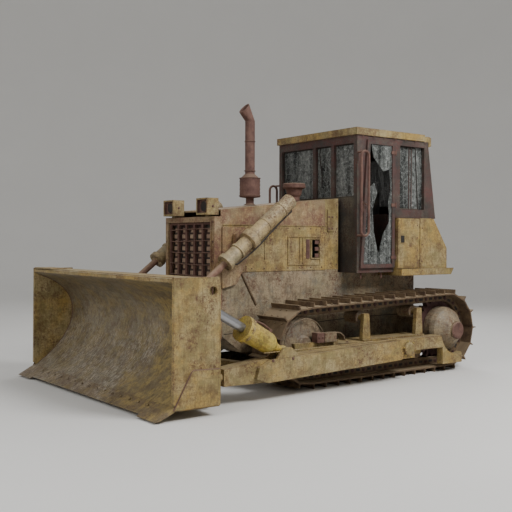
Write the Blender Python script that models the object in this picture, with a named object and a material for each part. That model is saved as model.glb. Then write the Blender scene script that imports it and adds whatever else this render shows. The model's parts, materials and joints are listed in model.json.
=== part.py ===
"""Crawler bulldozer with a straight tilt blade, enclosed cab and rear fuel tank.

Metres, +Z up. The design is drawn in the machine's own frame: the front points along -Y, the
machine's left along +X, the ground is z = 0. The "machine" empty then moves it so that the
origin is the middle of the footprint.
"""

import math

import bmesh
import bpy
from mathutils import Vector

# --- fits -------------------------------------------------------------------------------
GAP = 0.0003            # between faces that touch
PIN_FIT = 0.0007        # radial clearance of a pin in its eye
BALL_FIT = 0.0009       # radial clearance of a ball in its cup
ROD_FIT = 0.0007        # radial clearance of a rod in its gland
SWING = 0.012           # clearance round a joint that drifts
OVERLAP = 0.004         # how far joined shapes run into each other

# --- tracks -----------------------------------------------------------------------------
TRACK_X = 1.00          # centre of each track
SHOE_WIDTH = 0.56
IDLER_Y, IDLER_Z = -1.10, 0.54
SPROCKET_Y, SPROCKET_Z = 1.585, 0.581
IDLER_PIN_R = 0.409     # pin circle round the idler
SPROCKET_PIN_R = 0.45
SHOE_COUNT = 39
LINK_IN, LINK_OUT = 0.050, 0.056    # link edges, inside and outside the pin line
PLATE_OUT = 0.071       # outer face of a shoe plate
GROUSER_OUT = 0.131     # tip of a grouser
GROUSER_THICK = 0.022
RAIL_X = (0.055, 0.105)  # each link rail, from the track's centre
ROLLER_R = 0.10
ROLLER_COUNT = 6
ROLLER_FIRST_Y, ROLLER_LAST_Y = -0.62, 1.04
CARRIER_R = 0.085
CARRIER_Y = (-0.06, 0.97)
SPROCKET_TEETH = 27
FINAL_DRIVE_R = 0.30
HUB_R = 0.11
HUB_X = 1.42

# --- track frame ------------------------------------------------------------------------
FRAME_IN, FRAME_OUT = 0.85, 1.26
ROLLER_ROOM = 0.009     # between the rollers and the beam above them
FRAME_BOTTOM = IDLER_Z - IDLER_PIN_R + LINK_IN + 2 * ROLLER_R + ROLLER_ROOM
FRAME_TOP = 0.53
FRAME_FRONT, FRAME_REAR = -0.70, 1.11
YOKE_IN, YOKE_OUT = (0.79, 0.845), (1.20, 1.26)     # the arms either side of the idler
YOKE_FRONT, YOKE_Z = -1.32, (0.42, 0.58)
TAIL_X = (1.30, 1.40)
TAIL_FRONT, TAIL_REAR = 0.30, 1.70
TAIL_Z = (0.36, 0.526)
TRUNNION_Y, TRUNNION_Z = 0.37, 0.427
TRUNNION_R = 0.06
TRUNNION_CAP_R = 0.09

# --- push arms --------------------------------------------------------------------------
ARM_X = (1.36, 1.60)
ARM_PLATE = 0.05        # thickness of the arm's outer plate
ARM_HALF = 0.13         # half the arm's height
ARM_REAR = 0.225
ARM_FRONT = -2.58
ARM_SOCKET_REAR = 0.50
JOINT_X, JOINT_Y, JOINT_Z = 1.48, -2.68, 0.33   # ball joint at the front of the arm
BALL_R = 0.09
DRIFT = 0.035           # room round the right-hand ball, the linkage's open joint

# --- blade ------------------------------------------------------------------------------
BLADE_HALF = 1.84
BLADE_TOP = 1.465
BLADE_BACK = -2.80
END_PLATE = 0.04
END_PLATE_FRONT, END_PLATE_REAR = -3.40, -2.84
TIP_Y, TIP_Z = -3.62, 0.022         # cutting tip of the end bits
EDGE_TIP_Y, EDGE_TIP_Z = -3.585, 0.042
EDGE_THICK = 0.035
EDGE_ROOT = (-3.3855, 0.1425)       # where the edge meets the mouldboard's foot
END_BIT_WIDTH = 0.40
CURVE = ((-3.385, 0.143), (-2.735, 0.558), (-2.601, 1.164), (-3.36, 1.39))
EYE_HOLE_Y, EYE_HOLE_Z, EYE_HOLE_R = -2.92, 1.32, 0.045

# --- lift cylinders ---------------------------------------------------------------------
LIFT_Y, LIFT_Z = -1.675, 1.869      # trunnion
LIFT_EYE_Y, LIFT_EYE_Z = -2.633, 1.1255
LIFT_TAIL, LIFT_NOSE = 0.83, 0.49   # barrel behind and ahead of the trunnion
LIFT_R = 0.10
LIFT_ROD_R = 0.042
LIFT_EYE_R = 0.055
LIFT_ROD_IN = 0.12      # how far the rod reaches behind the trunnion at rest
LIFT_PIN_R = 0.045
EAR_HALF_GAP = 0.148    # half the space between the blade's lift ears

# --- tilt cylinder and brace ------------------------------------------------------------
TILT_X = 1.48
TILT_Y, TILT_Z = -1.70, 0.545       # pivot on the arm
TILT_EYE_Y, TILT_EYE_Z = -2.725, 1.10
TILT_R = 0.135
TILT_ROD_R = 0.055
TILT_BARREL = (0.20, 0.66)          # start and end of the barrel along its axis
TILT_EAR_HALF_GAP = 0.075

# --- stays ------------------------------------------------------------------------------
STAY_Y, STAY_Z = -2.05, 0.39
STAY_END_X, STAY_END_Z = 0.60, 0.50
STAY_R = 0.05

# --- hull, hood and guard ---------------------------------------------------------------
HULL_HALF = 0.55
HULL_FRONT, HULL_REAR = -1.93, 1.62
HULL_BOTTOM = 0.42
HULL_WALL = 0.05
BAY_FRONT, BAY_REAR, BAY_FLOOR = -1.88, 0.05, 0.60
HULL_SEAM = 1.455       # bottom of the hood's side panels
DECK_BOTTOM, DECK_TOP = 1.36, 1.455
DECK_HALF = 1.00
DECK_FRONT, DECK_REAR = 0.865, 2.00
GUARD_LIP = 0.03        # how far the guard stands out past the hull
GUARD_HALF = HULL_HALF + GUARD_LIP
BEARING_PLATE = 0.05    # thickness of the lift bearings' plates, outside the hull
BEARING_END = 0.13      # the lift bearings' outer faces, from the hull
BEARING_BORE = (0.06, 0.20)     # inner and outer ends of the bearings' bores, from the hull
PIN_END = 0.0607        # the lift pins' inner ends, from the hull
LIFT_STANDOFF = 0.27    # the lift cylinders' centres, from the hull
LIFT_X = HULL_HALF + LIFT_STANDOFF
GUARD_FRONT, GUARD_TOP, GUARD_BOTTOM = -2.05, 2.15, 0.62
GRILLE_FRAME = 0.08     # width of the guard beside the grille
GRILLE_HALF = GUARD_HALF - GRILLE_FRAME
GRILLE_BOTTOM, GRILLE_TOP = 0.86, 2.08
HOOD_TOP_FRONT, HOOD_TOP_REAR = 2.237, 2.443
HOOD_REAR = -0.19
HOOD_SKIN = 0.02
HOOD_SEAM = 2.05        # top of the side panels
COWL_REAR = 0.06
VENT_Y, VENT_Z = (-0.42, -0.30), (1.62, 1.86)
EXHAUST_Y = -1.07
MUFFLER_R, MUFFLER_Z = 0.14, (2.43, 2.74)
PIPE_R, PIPE_WALL = 0.067, 0.008
PIPE_BEND, PIPE_TIP = 3.475, 3.71
PIPE_LEAN = 0.10        # how far the tip leans forward
PIPE_SLANT = 1.0        # slope of the cut across the tip
CLEANER_Y, CLEANER_R = -0.285, 0.16
LAMP_X, LAMP_WIDTH, LAMP_HEIGHT, LAMP_DEPTH = 0.40, 0.25, 0.21, 0.17

# --- cab --------------------------------------------------------------------------------
CAB_HALF = 0.85
CAB_FRONT = 0.13
CAB_WALL = 0.05
CAB_FLOOR, CAB_SILL = 1.41, 1.465
CAB_TOP = 3.31
CAB_BOX_TOP = 2.185     # the fender boxes end here and the upper cab starts
CAB_REAR_TOP, CAB_REAR_LOW = 1.575, 1.75
CAB_WELL_HALF = 0.50    # half width between the fender boxes
CAB_WELL_REAR = 1.32
ROOF_HALF, ROOF_THICK = 0.87, 0.10
ROOF_TOP = CAB_TOP + ROOF_THICK
ROOF_BROW = 0.07        # how far the rear box reaches below the cab's top
ROOF_FRONT, ROOF_REAR = 0.10, 1.62
DOOR_THICK = 0.035
DOOR_BOTTOM, DOOR_TOP = 1.475, 3.25
DOOR_FRONT, DOOR_FRONT_TOP, DOOR_REAR = 0.17, 0.30, 0.845
DOOR_FRAME = 0.055
HINGE_X, HINGE_Y = 0.89, 0.855
GLASS = 0.006
FRONT_WINDOW = (2.46, 3.20)
SIDE_WINDOW_Y, SIDE_WINDOW_Z = (0.98, 1.50), (2.31, 3.22)
REAR_GLASS_HALF, REAR_GLASS_Z = 0.70, (2.385, 3.135)
REAR_GLASS_GAP = 0.0005
RAIL_R = 0.018
RAIL_STANDOFF_X, RAIL_CENTRE_Y, RAIL_HALF = 1.0, 0.135, 0.07

# --- fender boxes -----------------------------------------------------------------------
BOX_OUT = 0.93
BOX_FRONT, BOX_REAR = 0.865, 1.33
BOX_TOP = 2.18
BOX_WALL = 0.02
TANK_REAR, TANK_BEVEL_Y, TANK_BEVEL_Z = 1.92, 1.62, 1.75

SHIFT_Y = -(TIP_Y + SPROCKET_Y + SPROCKET_PIN_R + GROUSER_OUT) / 2

YELLOW = ("worn_yellow", (0.50, 0.36, 0.15), 0.75, 0.1)
RUST = ("rust", (0.20, 0.09, 0.06), 0.9, 0.2)
STEEL = ("track_steel", (0.17, 0.12, 0.09), 0.7, 0.6)
BARE = ("bare_steel", (0.30, 0.27, 0.24), 0.55, 0.7)
CHROME = ("chrome", (0.6, 0.6, 0.62), 0.2, 1.0)
DARK = ("dark_frame", (0.07, 0.05, 0.045), 0.8, 0.1)
PANE = ("glass", (0.08, 0.09, 0.09), 0.3, 0.0)
VINYL = ("seat_vinyl", (0.04, 0.04, 0.04), 0.7, 0.0)


# --- modelling helpers ------------------------------------------------------------------

def material(spec):
    """A Principled BSDF material, made once for each name."""
    name, colour, roughness, metallic = spec
    found = bpy.data.materials.get(name)
    if found:
        return found
    made = bpy.data.materials.new(name)
    made.use_nodes = True
    shader = made.node_tree.nodes["Principled BSDF"]
    shader.inputs["Base Color"].default_value = (*colour, 1.0)
    shader.inputs["Roughness"].default_value = roughness
    shader.inputs["Metallic"].default_value = metallic
    return made


def empty(name, place, parent=None):
    """A marker on a joint's axis, which carries the pieces that turn or slide there."""
    marker = bpy.data.objects.new(name, None)
    marker.empty_display_size = 0.2
    bpy.context.collection.objects.link(marker)
    if parent:
        marker.parent = parent
        marker.location = Vector(place) - Vector(parent["place"])
    else:
        marker.location = place
    marker["place"] = list(place)
    return marker


def prism(outline, low, high, axis):
    """An outline drawn across an axis and extruded along it from low to high."""
    def point(u, v, w):
        return {"x": (w, u, v), "y": (u, w, v), "z": (u, v, w)}[axis]
    shape = bmesh.new()
    rings = [[shape.verts.new(point(u, v, w)) for u, v in outline] for w in (low, high)]
    count = len(outline)
    for ring in rings:
        shape.faces.new(ring)
    for n in range(count):
        m = (n + 1) % count
        shape.faces.new((rings[0][n], rings[0][m], rings[1][m], rings[1][n]))
    bmesh.ops.recalc_face_normals(shape, faces=shape.faces)
    return shape


def block(x, y, z):
    """A box from its limits along each axis."""
    return prism([(x[0], y[0]), (x[1], y[0]), (x[1], y[1]), (x[0], y[1])], z[0], z[1], "z")


def ring_at(centre, radius, sides, slant=0.0):
    """Points round a circle seen from above, whose plane may climb towards +Y."""
    angles = [2 * math.pi * n / sides for n in range(sides)]
    return [Vector(centre) + radius * Vector((math.cos(a), math.sin(a), slant * math.sin(a))) for a in angles]


def lofted(rings):
    """A solid skinned over rings of points, flat at both ends."""
    shape = bmesh.new()
    rows = [[shape.verts.new(point) for point in ring] for ring in rings]
    for low, high in zip(rows, rows[1:]):
        for n in range(len(low)):
            shape.faces.new((low[n - 1], low[n], high[n], high[n - 1]))
    shape.faces.new(rows[0])
    shape.faces.new(rows[-1])
    bmesh.ops.recalc_face_normals(shape, faces=shape.faces)
    return shape


def turned(start, direction, profile, sides=24):
    """A solid of revolution: profile holds (distance along the axis, radius) pairs."""
    turn = Vector(direction).normalized().to_track_quat("Z", "Y").to_matrix()
    rings = [[Vector(start) + turn @ point for point in ring_at((0, 0, along), radius, sides)]
             for along, radius in profile]
    return lofted(rings)


def rod(start, end, radius, sides=16):
    """A plain round bar between two points."""
    length = (Vector(end) - Vector(start)).length
    return turned(start, Vector(end) - Vector(start), [(0, radius), (length, radius)], sides)


def ball(centre, direction, radius, sides=24, rings=8):
    """A ball turned about the axis that its joint turns about, with small flats at its poles."""
    angles = [math.pi * (0.04 + 0.92 * n / rings) for n in range(rings + 1)]
    profile = [(-radius * math.cos(a), radius * math.sin(a)) for a in angles]
    return turned(centre, direction, profile, sides)


def tube_along(points, radius, sides=10):
    """A closed loop of round tube in a plane of constant X."""
    shape = bmesh.new()
    count = len(points)
    rings = []
    for n, centre in enumerate(points):
        ahead = points[(n + 1) % count]
        behind = points[n - 1]
        tangent = Vector((0, ahead[0] - behind[0], ahead[1] - behind[1])).normalized()
        side = tangent.cross(Vector((1, 0, 0)))
        ring = []
        for k in range(sides):
            angle = 2 * math.pi * k / sides
            offset = side * (radius * math.cos(angle)) + Vector((radius * math.sin(angle), 0, 0))
            ring.append(shape.verts.new(Vector((0, *centre)) + offset))
        rings.append(ring)
    for n in range(count):
        m = (n + 1) % count
        for k in range(sides):
            j = (k + 1) % sides
            shape.faces.new((rings[n][k], rings[n][j], rings[m][j], rings[m][k]))
    bmesh.ops.recalc_face_normals(shape, faces=shape.faces)
    return shape


def mesh_object(name, shape, carrier):
    """A mesh object under its carrier, with its points given in the machine's frame."""
    bmesh.ops.translate(shape, verts=shape.verts, vec=-Vector(carrier["place"]))
    mesh = bpy.data.meshes.new(name)
    shape.to_mesh(mesh)
    shape.free()
    made = bpy.data.objects.new(name, mesh)
    made.parent = carrier
    bpy.context.collection.objects.link(made)
    return made


def piece(name, spec, carrier, shapes, cuts=()):
    """One closed body: the first shape, joined to the others, less the cuts."""
    body = mesh_object(name, shapes[0], carrier)
    body.data.materials.append(material(spec))
    steps = [("UNION", shape) for shape in shapes[1:]] + [("DIFFERENCE", shape) for shape in cuts]
    for n, (operation, shape) in enumerate(steps):
        tool = mesh_object(f"{name}_tool_{n}", shape, carrier)
        tool.hide_render = True
        tool.display_type = "WIRE"
        tool.data.materials.append(material(spec))
        modifier = body.modifiers.new(f"{operation.lower()}_{n}", "BOOLEAN")
        modifier.operation = operation
        modifier.object = tool
    body.data.shade_smooth()
    body.data.set_sharp_from_angle(angle=math.radians(35))
    return body


def sided(side, pair):
    """An X range on the left (side 1) or its mirror image on the right (side -1)."""
    return tuple(sorted((side * pair[0], side * pair[1])))


def spaced(first, last, count):
    return [first + (last - first) * n / (count - 1) for n in range(count)]


def arc(centre, radius, start, end, count):
    """Points on an arc, angles in degrees from the first axis towards the second."""
    angles = [math.radians(a) for a in spaced(start, end, count)]
    return [(centre[0] + radius * math.cos(a), centre[1] + radius * math.sin(a)) for a in angles]


def bezier(points, count):
    """Evenly stepped points on a cubic Bezier curve."""
    a, b, c, d = (Vector(p) for p in points)
    steps = spaced(0.0, 1.0, count)
    return [tuple(a * (1 - t) ** 3 + b * (3 * t * (1 - t) ** 2) + c * (3 * t * t * (1 - t)) + d * t ** 3)
            for t in steps]


# --- tracks -----------------------------------------------------------------------------

def wrap_angles():
    """Angles where the track leaves the sprocket, above and below, and its straight length."""
    span = Vector((SPROCKET_Y - IDLER_Y, SPROCKET_Z - IDLER_Z))
    lean = math.asin((SPROCKET_PIN_R - IDLER_PIN_R) / span.length)
    slope = math.atan2(span.y, span.x)
    return slope + math.pi / 2 + lean, slope - math.pi / 2 - lean, span.length * math.cos(lean)


def pin_line(steps):
    """Equally spaced points on the line of the track's pins, each with its outward angle. The
    first is straight behind the sprocket."""
    top, bottom, straight = wrap_angles()
    wheels = ((Vector((SPROCKET_Y, SPROCKET_Z)), SPROCKET_PIN_R, bottom, top),
              (Vector((IDLER_Y, IDLER_Z)), IDLER_PIN_R, top, bottom + 2 * math.pi))
    arcs = [radius * (end - start) for _, radius, start, end in wheels]
    total = sum(arcs) + 2 * straight
    found = []
    for n in range(steps):
        s = (total * n / steps - SPROCKET_PIN_R * bottom) % total
        for (centre, radius, start, end), length, (following, far, _, _) in zip(wheels, arcs, reversed(wheels)):
            if 0 <= s < length:
                angle = start + s / radius
                found.append((centre + radius * Vector((math.cos(angle), math.sin(angle))), angle))
            elif length <= s < length + straight:
                out = Vector((math.cos(end), math.sin(end)))
                share = (s - length) / straight
                found.append(((centre + radius * out).lerp(following + far * out, share), end))
            s -= length + straight
    return found


def hollow_prism(outer, inner, x):
    """A flat loop extruded along X, whose two outlines may have different numbers of points."""
    shape = bmesh.new()
    layers = []
    for w in x:
        loops = [[shape.verts.new((w, *p)) for p in line] for line in (outer, inner)]
        edges = [shape.edges.new((loop[n - 1], loop[n])) for loop in loops for n in range(len(loop))]
        bmesh.ops.triangle_fill(shape, use_beauty=True, use_dissolve=False, edges=edges)
        layers.append(loops)
    for near, far in zip(*layers):
        for n in range(len(near)):
            shape.faces.new((near[n - 1], near[n], far[n], far[n - 1]))
    bmesh.ops.recalc_face_normals(shape, faces=shape.faces)
    return shape


def ring_prism(outer, inner, x):
    """A flat loop extruded along X. Both outlines have the same number of points."""
    shape = bmesh.new()
    count = len(outer)
    layers = [[[shape.verts.new((w, *p)) for p in line] for line in (outer, inner)] for w in x]
    for n in range(count):
        m = (n + 1) % count
        for near, far in ((layers[0][0], layers[1][0]), (layers[0][1], layers[1][1]),
                          (layers[0][0], layers[0][1]), (layers[1][0], layers[1][1])):
            shape.faces.new((near[n], near[m], far[m], far[n]))
    bmesh.ops.recalc_face_normals(shape, faces=shape.faces)
    return shape


def belt(offset, steps=16):
    """The loop at an offset from the pin line, as two arcs joined by straight runs."""
    top, bottom, _ = wrap_angles()
    turn = [bottom + (top - bottom) * n / steps for n in range(steps + 1)]
    rear = [Vector((SPROCKET_Y, SPROCKET_Z)) + (SPROCKET_PIN_R + offset) * Vector((math.cos(a), math.sin(a)))
            for a in turn]
    turn = [top + (2 * math.pi + bottom - top) * n / steps for n in range(steps + 1)]
    front = [Vector((IDLER_Y, IDLER_Z)) + (IDLER_PIN_R + offset) * Vector((math.cos(a), math.sin(a)))
             for a in turn]
    return rear + front


def shoe_outline():
    """The outside of the shoes, with a grouser at the trailing edge of each plate."""
    outline = []
    for base, normal in pin_line(SHOE_COUNT):
        out = Vector((math.cos(normal), math.sin(normal)))
        along = Vector((-out.y, out.x))
        half = GROUSER_THICK / 2
        for shift, height in ((-half, PLATE_OUT), (-half * 0.6, GROUSER_OUT),
                              (half * 0.6, GROUSER_OUT), (half, PLATE_OUT)):
            outline.append(tuple(base + along * shift + out * height))
    return outline


def track(side, name, carrier):
    middle = side * TRACK_X
    width = (middle - SHOE_WIDTH / 2, middle + SHOE_WIDTH / 2)
    under = [tuple(base + (LINK_OUT - OVERLAP) * Vector((math.cos(normal), math.sin(normal))))
             for base, normal in pin_line(SHOE_COUNT)]
    rails = []
    for row in (-1, 1):
        x = sorted((middle + row * RAIL_X[0], middle + row * RAIL_X[1]))
        rails.append(ring_prism(belt(LINK_OUT), belt(-LINK_IN), x))
    shoes = hollow_prism(shoe_outline(), under, width)
    return piece(name, STEEL, carrier, [shoes, *rails])


def rail_height(y):
    """Height of the inner edge of the track's top run."""
    top, _, _ = wrap_angles()
    ends = [centre + (radius - LINK_IN) * math.sin(top) for centre, radius in
            ((IDLER_Z, IDLER_PIN_R), (SPROCKET_Z, SPROCKET_PIN_R))]
    return ends[0] + (ends[1] - ends[0]) * (y - IDLER_Y) / (SPROCKET_Y - IDLER_Y)


def bottom_rail():
    return IDLER_Z - IDLER_PIN_R + LINK_IN


def idler(side, name, carrier):
    middle = side * TRACK_X
    tread = (IDLER_PIN_R - LINK_IN) * math.cos(math.pi / 32) - GAP
    inner, outer = TRACK_X - YOKE_IN[1] - GAP, YOKE_OUT[0] - TRACK_X - GAP
    profile = [(-inner, 0.07), (-0.135, 0.07), (-0.12, 0.33), (-0.12, tread), (-0.045, tread),
               (-0.040, tread + 0.035), (0.040, tread + 0.035), (0.045, tread), (0.12, tread),
               (0.13, 0.33), (0.16, 0.13), (outer, 0.07)]
    return piece(name, YELLOW, carrier, [turned((middle, IDLER_Y, IDLER_Z), (side, 0, 0), profile, 32)])


def final_drive(side, name, carrier):
    """The drive case, the toothed sprocket and the outboard hub."""
    middle = (side * 1.0, SPROCKET_Y, SPROCKET_Z)
    case = [(HULL_HALF + GAP, FINAL_DRIVE_R), (0.95, FINAL_DRIVE_R), (0.955, 0.25), (1.045, 0.25),
            (1.05, 0.32), (1.16, 0.32), (1.23, 0.295), (1.30, 0.225), (1.385, 0.13),
            (1.386, HUB_R), (HUB_X, HUB_R)]
    hub = turned((0, SPROCKET_Y, SPROCKET_Z), (side, 0, 0), case, 26)
    teeth = []
    for n in range(SPROCKET_TEETH):
        centre = 360 * n / SPROCKET_TEETH
        for shift, radius in ((-4.2, 0.392), (-1.8, 0.455), (1.8, 0.455), (4.2, 0.392)):
            angle = math.radians(centre + shift)
            teeth.append((SPROCKET_Y + radius * math.cos(angle), SPROCKET_Z + radius * math.sin(angle)))
    x = sided(side, (middle[0] * side - 0.04, middle[0] * side + 0.04))
    return piece(name, YELLOW, carrier, [hub, prism(teeth, x[0], x[1], "x")])


def roller_profile(reach, radius):
    return [(-reach, 0.035), (-0.12, 0.035), (-0.12, radius), (0.12, radius), (0.12, 0.035), (reach, 0.035)]


def track_rollers(side, name, carrier):
    z = bottom_rail() + ROLLER_R + GAP
    middle = side * TRACK_X
    shapes = [block((middle - 0.012, middle + 0.012), (ROLLER_FIRST_Y, ROLLER_LAST_Y), (z - 0.012, z + 0.012))]
    for y in spaced(ROLLER_FIRST_Y, ROLLER_LAST_Y, ROLLER_COUNT):
        shapes.append(turned((middle, y, z), (1, 0, 0), roller_profile(0.1247, ROLLER_R), 16))
    return piece(name, STEEL, carrier, shapes)


def carrier_rollers(side, name, carrier):
    """The two rollers under the top run, on posts that stand on the track frame."""
    foot = sided(side, (1.13, FRAME_OUT))
    shapes = [block(foot, (CARRIER_Y[0] - 0.08, CARRIER_Y[1] + 0.08), (FRAME_TOP + GAP, FRAME_TOP + 0.02))]
    for y in CARRIER_Y:
        z = rail_height(y) - CARRIER_R - 0.012
        post = [(y - 0.075, FRAME_TOP + 0.015), (y + 0.075, FRAME_TOP + 0.015), (y + 0.05, z + 0.055),
                (y - 0.05, z + 0.055)]
        shapes.append(prism(post, *sided(side, (1.175, 1.235)), "x"))
        shapes.append(turned((side * TRACK_X, y, z), (side, 0, 0), [
            (-0.115, CARRIER_R), (0.115, CARRIER_R), (0.115, 0.04), (0.19, 0.04)], 16))
    return piece(name, YELLOW, carrier, shapes)


def track_frame(side, name, carrier):
    """Side beam with roller flanges, idler yoke, tail beam and the push arm's trunnion."""
    beam = block(sided(side, (FRAME_IN, FRAME_OUT)), (FRAME_FRONT, FRAME_REAR), (FRAME_BOTTOM, FRAME_TOP))
    flanges = [block(sided(side, x), (FRAME_FRONT, FRAME_REAR), (0.26, FRAME_BOTTOM + OVERLAP))
               for x in ((FRAME_IN, 0.875), (1.125, 1.15))]
    yoke = [block(sided(side, x), (YOKE_FRONT, FRAME_FRONT + 0.10), YOKE_Z) for x in (YOKE_IN, YOKE_OUT)]
    root = block(sided(side, (YOKE_IN[0], FRAME_IN + OVERLAP)), (FRAME_FRONT + OVERLAP, FRAME_FRONT + 0.10),
                 (YOKE_Z[0] + OVERLAP, FRAME_TOP - OVERLAP))
    tail = [block(sided(side, (1.20, TAIL_X[1])), (TAIL_FRONT, TAIL_REAR - 0.35), TAIL_Z),
            block(sided(side, TAIL_X), (1.28, TAIL_REAR), (0.12, 0.40))]
    pin = [(TAIL_X[1] - 0.02, TRUNNION_R), (ARM_X[1] - 0.015, TRUNNION_R),
           (ARM_X[1] - 0.015, TRUNNION_CAP_R), (ARM_X[1] + 0.01, TRUNNION_CAP_R),
           (ARM_X[1] + 0.02, TRUNNION_CAP_R - 0.02)]
    trunnion = turned((0, TRUNNION_Y, TRUNNION_Z), (side, 0, 0), pin, 32)
    pivot = block(sided(side, (HULL_HALF + GAP, FRAME_IN + OVERLAP)), (0.66, 0.84), (FRAME_BOTTOM + 0.04, 0.50))
    drive_room = turned((side, SPROCKET_Y, SPROCKET_Z), (side, 0, 0), [(-0.2, 0.335), (0.42, 0.335)], 40)
    return piece(name, YELLOW, carrier, [beam, *flanges, *yoke, root, *tail, trunnion, pivot], [drive_room])


# --- hull and guard ---------------------------------------------------------------------

def main_frame(carrier):
    outline = [(HULL_FRONT, 0.66), (HULL_FRONT, HULL_SEAM - GAP), (COWL_REAR, HULL_SEAM - GAP),
               (COWL_REAR, CAB_FLOOR - GAP), (DECK_FRONT - 0.01, CAB_FLOOR - GAP),
               (DECK_FRONT - 0.01, DECK_BOTTOM - GAP), (HULL_REAR, DECK_BOTTOM - GAP), (HULL_REAR, 0.75),
               (1.25, HULL_BOTTOM), (-1.60, HULL_BOTTOM)]
    hull = prism(outline, -HULL_HALF, HULL_HALF, "x")
    inside = HULL_HALF - HULL_WALL
    bay = block((-inside, inside), (BAY_FRONT, BAY_REAR - HULL_WALL), (BAY_FLOOR, HULL_SEAM + 0.1))
    return piece("main_frame", YELLOW, carrier, [hull], [bay])


def engine_block(carrier):
    lower = block((-0.30, 0.30), (-1.35, -0.20), (BAY_FLOOR + GAP, 1.55))
    head = block((-0.20, 0.20), (-1.30, -0.25), (1.50, 1.95))
    return piece("engine_block", STEEL, carrier, [lower, head])


def drawbar(carrier):
    plate = block((-0.16, 0.16), (HULL_REAR + GAP, HULL_REAR + 0.06), (0.76, 1.10))
    tongue = [block((-0.12, 0.12), (HULL_REAR + 0.05, HULL_REAR + 0.36), z)
              for z in ((0.84, 0.88), (0.98, 1.02))]
    hole = rod((0, HULL_REAR + 0.28, 0.80), (0, HULL_REAR + 0.28, 1.06), 0.035, 20)
    return piece("drawbar", STEEL, carrier, [plate, *tongue], [hole])


def equalizer_bar(carrier):
    reach = FRAME_IN - GAP
    bar = [(-reach, 0.32), (-reach, 0.41), (-0.5, HULL_BOTTOM - GAP), (0.5, HULL_BOTTOM - GAP),
           (reach, 0.41), (reach, 0.32), (0.4, 0.30), (-0.4, 0.30)]
    return piece("equalizer_bar", STEEL, carrier, [prism(bar, -0.62, -0.48, "y")])


def radiator_guard(carrier):
    """Front casting with the grille opening, and side plates that carry the lift bearings."""
    front = block((-GUARD_HALF, GUARD_HALF), (GUARD_FRONT, HULL_FRONT - GAP), (GUARD_BOTTOM, GUARD_TOP))
    shapes = [front]
    for side in (1, -1):
        plate = [(HULL_FRONT - 0.01, 1.25), (HULL_FRONT - 0.01, 2.02), (-1.62, 2.02), (-1.50, 1.95),
                 (-1.50, 1.70), (-1.72, 1.30)]
        shapes.append(prism(plate, *sided(side, (HULL_HALF + GAP, HULL_HALF + BEARING_PLATE)), "x"))
        bearing = [(LIFT_Y - 0.11, LIFT_Z - 0.10), (LIFT_Y + 0.11, LIFT_Z - 0.10),
                   (LIFT_Y + 0.11, LIFT_Z + 0.06), (LIFT_Y + 0.05, LIFT_Z + 0.11),
                   (LIFT_Y - 0.05, LIFT_Z + 0.11), (LIFT_Y - 0.11, LIFT_Z + 0.06)]
        shapes.append(prism(bearing, *sided(side, (HULL_HALF + BEARING_PLATE - 0.005, HULL_HALF + BEARING_END)), "x"))
    opening = block((-GRILLE_HALF, GRILLE_HALF), (GUARD_FRONT - 0.1, HULL_FRONT + 0.1), (GRILLE_BOTTOM, GRILLE_TOP))
    holes = [rod((side * (HULL_HALF + BEARING_BORE[0]), LIFT_Y, LIFT_Z),
                 (side * (HULL_HALF + BEARING_BORE[1]), LIFT_Y, LIFT_Z), LIFT_PIN_R + PIN_FIT, 32)
             for side in (1, -1)]
    return piece("radiator_guard", YELLOW, carrier, shapes, [opening, *holes])


def radiator_core(carrier):
    core = block((-GRILLE_HALF + 0.02, GRILLE_HALF - 0.02), (HULL_FRONT + 0.003, -1.885), (1.46, GRILLE_TOP))
    low = block((-GRILLE_HALF + 0.01, GRILLE_HALF - 0.01), (HULL_FRONT - 0.04, HULL_FRONT - 0.003),
                (GRILLE_BOTTOM + GAP, GRILLE_TOP - GAP))
    joined = block((-0.3, 0.3), (HULL_FRONT - 0.02, HULL_FRONT + 0.02), (1.5, 2.0))
    return piece("radiator_core", DARK, carrier, [low, core, joined])


def radiator_grille(carrier):
    """Upright flats between two rails, welded in the guard's opening."""
    half = GRILLE_HALF - GAP
    y = GUARD_FRONT + 0.02
    shapes = [block((-half, half), (y, y + 0.03), z) for z in
              ((GRILLE_BOTTOM + GAP, GRILLE_BOTTOM + 0.03), (GRILLE_TOP - 0.03, GRILLE_TOP - GAP))]
    for x in spaced(-half + 0.02, half - 0.02, 6):
        shapes.append(block((x - 0.02, x + 0.02), (y - 0.005, y + 0.02), (GRILLE_BOTTOM + 0.01, GRILLE_TOP - 0.01)))
    return piece("radiator_grille", RUST, carrier, shapes)


def hood_line(y):
    """Height of the hood's top surface, which climbs towards the cab."""
    share = (y - HULL_FRONT) / (COWL_REAR - HULL_FRONT)
    return HOOD_TOP_FRONT + (HOOD_TOP_REAR - HOOD_TOP_FRONT) * share


def hood_section(name, carrier, front, rear, low, spec=YELLOW):
    """An inverted tray between two stations, open below and at both ends."""
    outer = [(front, low), (front, hood_line(front)), (rear, hood_line(rear)), (rear, low)]
    inner = [(front - 0.1, low - 0.1), (front - 0.1, hood_line(front - 0.1) - HOOD_SKIN),
             (rear + 0.1, hood_line(rear + 0.1) - HOOD_SKIN), (rear + 0.1, low - 0.1)]
    inside = HULL_HALF - HOOD_SKIN
    return piece(name, spec, carrier, [prism(outer, -HULL_HALF, HULL_HALF, "x")],
                 [prism(inner, -inside, inside, "x")])


def side_panel(side, name, carrier):
    x = sided(side, (HULL_HALF - HOOD_SKIN, HULL_HALF))
    panel = block(x, (HULL_FRONT, HOOD_REAR - GAP), (HULL_SEAM, HOOD_SEAM - GAP))
    vent = block(sided(side, (HULL_HALF - 0.1, HULL_HALF + 0.1)), VENT_Y, VENT_Z)
    return piece(name, YELLOW, carrier, [panel], [vent])


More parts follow.
